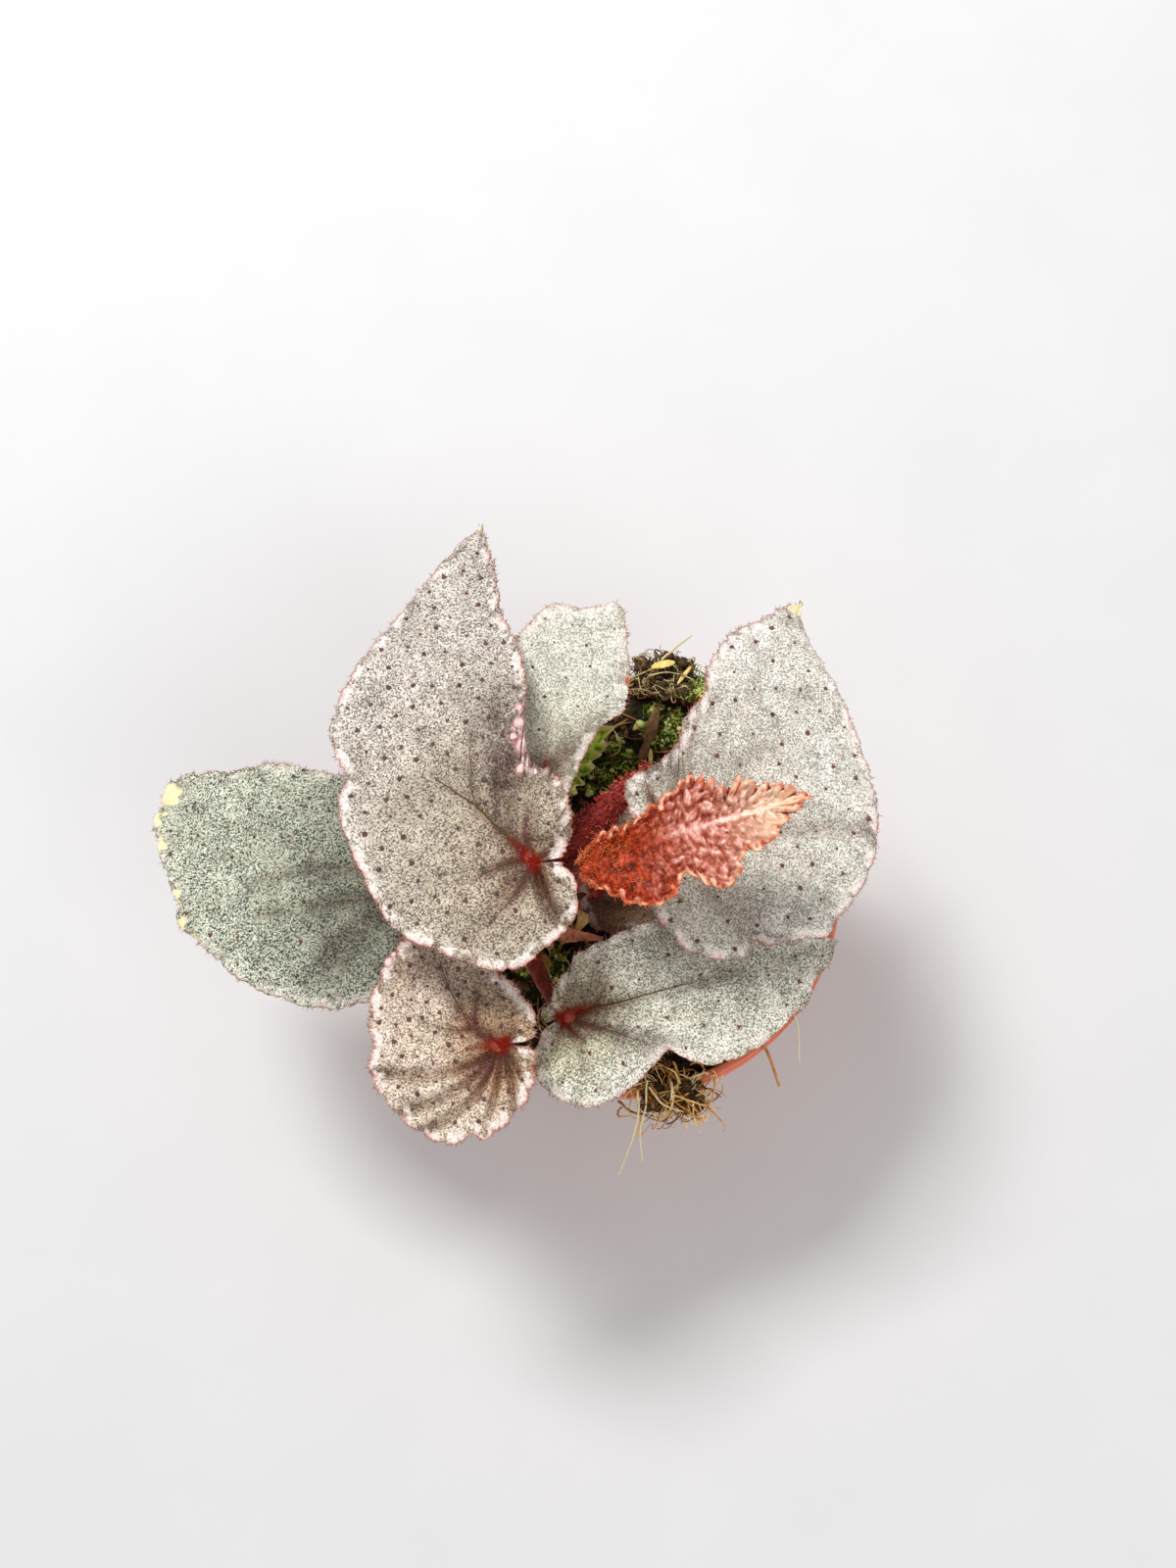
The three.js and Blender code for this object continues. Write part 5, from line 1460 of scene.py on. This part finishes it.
def make_folded_leaf(rng):
    base = FOLDED_LEAF["base"]
    points = [(*base, SOCKET_FLOOR), (*base, SOCKET_FLOOR + FOLDED_LEAF["rise"])]
    points += FOLDED_LEAF["via"]
    body, hairs = hairy_rod(points, FOLDED_LEAF["radii"], FOLDED_HAIR, rng, 110, 26, 0.2)
    skin = mottled_finish("folded_skin", ("4a0602", "841408", "bb3a22"), 0.7, 0.2)
    piece("folded_leaf_skin", body, skin, ["folded_leaf"])
    fuzz = mottled_finish("folded_hair", ("7a0e08", "bc3020", "f2a088"), 0.6, 0.05)
    piece("folded_leaf_fuzz", hairs, fuzz)


def make_scales():
    """Thin papery scales, cupped round the stalks, with a torn edge."""
    finishes = {
        name: mottled_finish(f"scale_{name}", tones, 1.6, 0.1) for name, tones in SCALE_TONES.items()
    }
    steps = 26
    share = np.linspace(-1, 1, 11)
    cup = 0.7 * share ** 2 + 0.18 * np.cos(share * 9)
    for name, (line, widths, tone, replaced) in SCALES.items():
        path = curve_through(line, steps)
        tangent = unit(np.gradient(path, axis=0))
        side = unit(np.cross([0, 0, 1], tangent))
        outward = np.cross(tangent, side)[:, None]
        half = tapered(widths, steps)
        torn = 1 + 0.16 * noise(np.arange(steps)[:, None], 1.5, len(name))
        front = path[:, None] + side[:, None] * (half * torn)[:, None, None] * share[None, :, None]
        front -= 0.5 * outward * cup[None, :, None] * half[:, None, None]
        shape = sheet(front, front + outward * SCALE_THICKNESS)
        piece(name, shape, finishes[tone], replaced)


def make_rhizome():
    steps, sides = 64, 40
    half_length, half_width, half_height = RHIZOME_HALF_SIZE
    share = np.linspace(-0.99, 0.99, steps)[:, None]
    cosines, sines = circle(sides)
    swell = np.sqrt(1 - np.abs(share) ** 3) * (1 + 0.05 * np.sin(share * 19))
    along = half_length * share + 0 * cosines
    body = np.stack([along, half_width * swell * cosines, half_height * swell * sines], -1)
    body *= 1 + 0.07 * noise(body, 2.2, 5)[..., None]
    x, y = turned(body[..., 0], body[..., 1], math.radians(RHIZOME_HEADING))
    points = (np.stack([x, y, body[..., 2]], -1) + RHIZOME_MIDDLE).reshape(-1, 3)
    faces = closed(np.arange(steps * sides).reshape(steps, sides))
    finish = mottled_finish("rhizome_skin", ("4a2415", "7c4229", "a8764e"), 1.4, 0.3)
    piece("rhizome_stem", (points, faces), finish, ["rhizome"])


LIVERWORT_THICKNESS = 0.35
LIVERWORT_LOBES = [
    # Middle, heading, length, half width, rise
    ((-14.5, 18.4, 60.6), -20, 6.8, 2.8, 4.6), ((-14, 20.4, 60.6), 6, 8.8, 3.2, 5.4),
    ((-12.4, 23, 60.4), 20, 9.8, 3.6, 5.2), ((-14.5, 21, 60.2), 165, 5, 3.4, 1.2),
]


def make_liverwort():
    """Crinkled green lobes that curl up at a frilled edge, pale partly in its own colour and partly as
    a painted highlight.
    """
    parts, rim = [], []
    across, share = np.meshgrid(np.linspace(-1, 1, 41), np.linspace(0, 1, 40), indexing="ij")
    for number, (middle, heading, length, half, rise) in enumerate(LIVERWORT_LOBES):
        width = half * (0.35 + 0.65 * np.sin(math.pi * np.minimum(share * 0.62 + 0.08, 1)))
        bulge = 1 + 0.1 * np.sin(across * 7 + number)
        forward, aside = length * share * (1 - 0.25 * across ** 2) * bulge, width * across
        edge = np.maximum(share, np.abs(across) ** 2)
        crinkle = np.sin(13 * across + 5 * share + number) * np.cos(11 * share)
        up = rise * edge ** 2.5 * share + 0.9 * crinkle * edge ** 2
        up += 0.45 * noise(np.stack([forward, aside], -1), 1.1, 20 + number)
        x, y = turned(forward, aside, math.radians(heading))
        upper = np.stack([x, y, up], -1) + middle
        parts.append(sheet(upper, upper - [0, 0, LIVERWORT_THICKNESS]))
        rim.append(np.tile(edge.ravel(), 2))
    f = Finish("liverwort_skin", {"IOR": 1.45, "Roughness": 0.45})
    skin = f.mix(f.span(f.noise(1.0, 3), 0.35, 0.65), "66a010", "def050")
    # The pale rim is partly the edge's own colour and partly a painted highlight on the curled edge
    f.into("Base Color", f.mix(f.span(f.mark("rim"), 0.84, 0.95, 0, 0.9), skin, "fdf8b8"))
    f.bump(f.noise(0.5, 2), 0.12)
    piece("liverwort_lobes", merged(parts), f.material, ["liverwort"],
          {"rim": np.concatenate(rim)})


# Build the plant. A leaf's tones are light, dark and a tint that darkens it round the seat, partly its
# own colour and partly painted shade, then how far that tint reaches from the seat, how pale the
# margin is, and the colour of its stains, which are partly painted shade.
LEAF_TONES = {
    "top": ("eee8de", "6c6156", "e0d6c4", 40, 0.9),
    "right": ("fffef4", "98938a", "ece8e0", 34, 0.8),
    "front": ("fffff2", "7e7e66", "ece9d8", 14, 0.5),
    "low_left": ("fcecd8", "86705c", "e6d8c4", 12, 0.85, "80583e"),
    "left": ("e8eed8", "383c32", "b6b6ae", 38, 0.4),
    "back": ("fbfbee", "9a9c8c", "e6e4da", 22, 0.5),
    "under": ("cdc0ac", "84705a", "c8a884", 20, 0.3, "a4684a"),
}
PALE_DOTTED = ("left", "front", "right")


def make_leaves():
    finishes = {name: leaf_finish(name, *tones) for name, tones in LEAF_TONES.items()}
    finishes |= {
        "young": young_finish(),
        "vein": vein_finish(),
        "edge_hair": mottled_finish("edge_hair", ("7a4030", "a8705c", "d8b0a0"), 1.0, 0.05),
        "rust_hair": mottled_finish("young_hair", ("a8330e", "d9662c", "f0a765"), 1.5, 0.05),
        "dark_dot": mottled_finish("dark_dot", ("41282a", "5e3c3a"), 1.0, 0.05),
        "pale_dot": mottled_finish("pale_dot", ("44281e", "6a4030"), 1.0, 0.05),
    }
    stalk_skin = mottled_finish("stalk_skin", ("561004", "86240e", "b44a2a"), 2.0, 0.12)
    stalk_hair = mottled_finish("stalk_hair", ("8c2c17", "c55a3a", "e49a78"), 1.0, 0.05)
    for number, (name, leaf) in enumerate(LEAVES.items()):
        rng = np.random.default_rng(100 + number)
        top = make_leaf(name, leaf, finishes, rng, 10 * number)
        if name == "young":
            make_young_fur(top, finishes["rust_hair"], rng)
        body, hairs = hairy_rod(stalk_path(leaf), leaf["stalk"]["radius"], STALK_HAIR, rng)
        piece(f"petiole_{name}", body, stalk_skin, [f"stalk_{name}"])
        piece(f"petiole_hairs_{name}", hairs, stalk_hair)


def make_young_fur(top, finish, rng):
    """Short dense hairs on the lower part of the young leaf."""
    from_seat = np.hypot(*top.plan.T)
    chance = smooth((19 - from_seat) / 12) * smooth(from_seat / 1.5)
    picks = np.flatnonzero(rng.uniform(0, 1, len(chance)) < chance)
    picks = rng.permutation(picks)[:1200]
    roots, normals = top.at(top.plan[picks])
    direction = unit(normals + rng.normal(scale=0.5, size=normals.shape))
    shape = spikes(roots, direction, rng.uniform(0.3, 0.9, len(picks)), 0.07, rng)
    piece("leaf_fur_young", shape, finish)


make_leaves()
make_folded_leaf(np.random.default_rng(200))
make_scales()
make_rhizome()
make_pot()
make_soil()
make_crumbs(np.random.default_rng(300))
make_moss(np.random.default_rng(301))
for clump_number, (clump_name, clump_facts) in enumerate(CLUMPS.items()):
    make_clump(clump_name, clump_facts, np.random.default_rng(310 + clump_number))
make_loose(np.random.default_rng(320))
make_straws(np.random.default_rng(330))
make_liverwort()


# Floor, light and camera. A lamp is (name, place, size, power, tilt from straight down, turn).
LAMPS = [
    ("key", (-0.3, 0.42, 0.95), 0.3, 13.5, 30.679, -35.538),
    ("fill", (0.4, -0.55, 0.9), 0.7, 6.0, 39.671, 143.973),
]


def make_stage():
    bpy.ops.mesh.primitive_plane_add(size=6)
    floor = bpy.context.object
    floor.name = "floor"
    f = Finish("floor_paper", {"Roughness": 0.9})
    f.into("Base Color", f.mix(f.noise(30, 3), (0.60, 0.60, 0.60, 1), (0.64, 0.64, 0.64, 1)))
    floor.data.materials.append(f.material)
    world = bpy.data.worlds.new("soft_light")
    bpy.context.scene.world = world
    world.use_nodes = True
    background = world.node_tree.nodes["Background"]
    background.inputs["Color"].default_value = (1, 1, 1, 1)
    background.inputs["Strength"].default_value = 0.5
    for name, place, size, power, tilt, turn in LAMPS:
        light = bpy.data.lights.new(name, "AREA")
        light.size = size
        light.energy = power
        lamp = bpy.data.objects.new(name, light)
        bpy.context.scene.collection.objects.link(lamp)
        lamp.location = place
        lamp.rotation_euler = (math.radians(tilt), 0, math.radians(turn))
    bpy.context.scene.view_settings.view_transform = "Standard"


CAMERA_PLACE = (-0.00688, -0.05388, 0.36556)
CAMERA_TILT = 13.15
CAMERA_LENS = 40.5


def make_camera():
    camera = bpy.data.objects.new("camera", bpy.data.cameras.new("camera"))
    bpy.context.scene.collection.objects.link(camera)
    camera.location = CAMERA_PLACE
    camera.rotation_euler = (math.radians(CAMERA_TILT), 0, 0)
    camera.data.lens = CAMERA_LENS
    camera.data.clip_start = 0.01
    bpy.context.scene.camera = camera


make_stage()
make_camera()
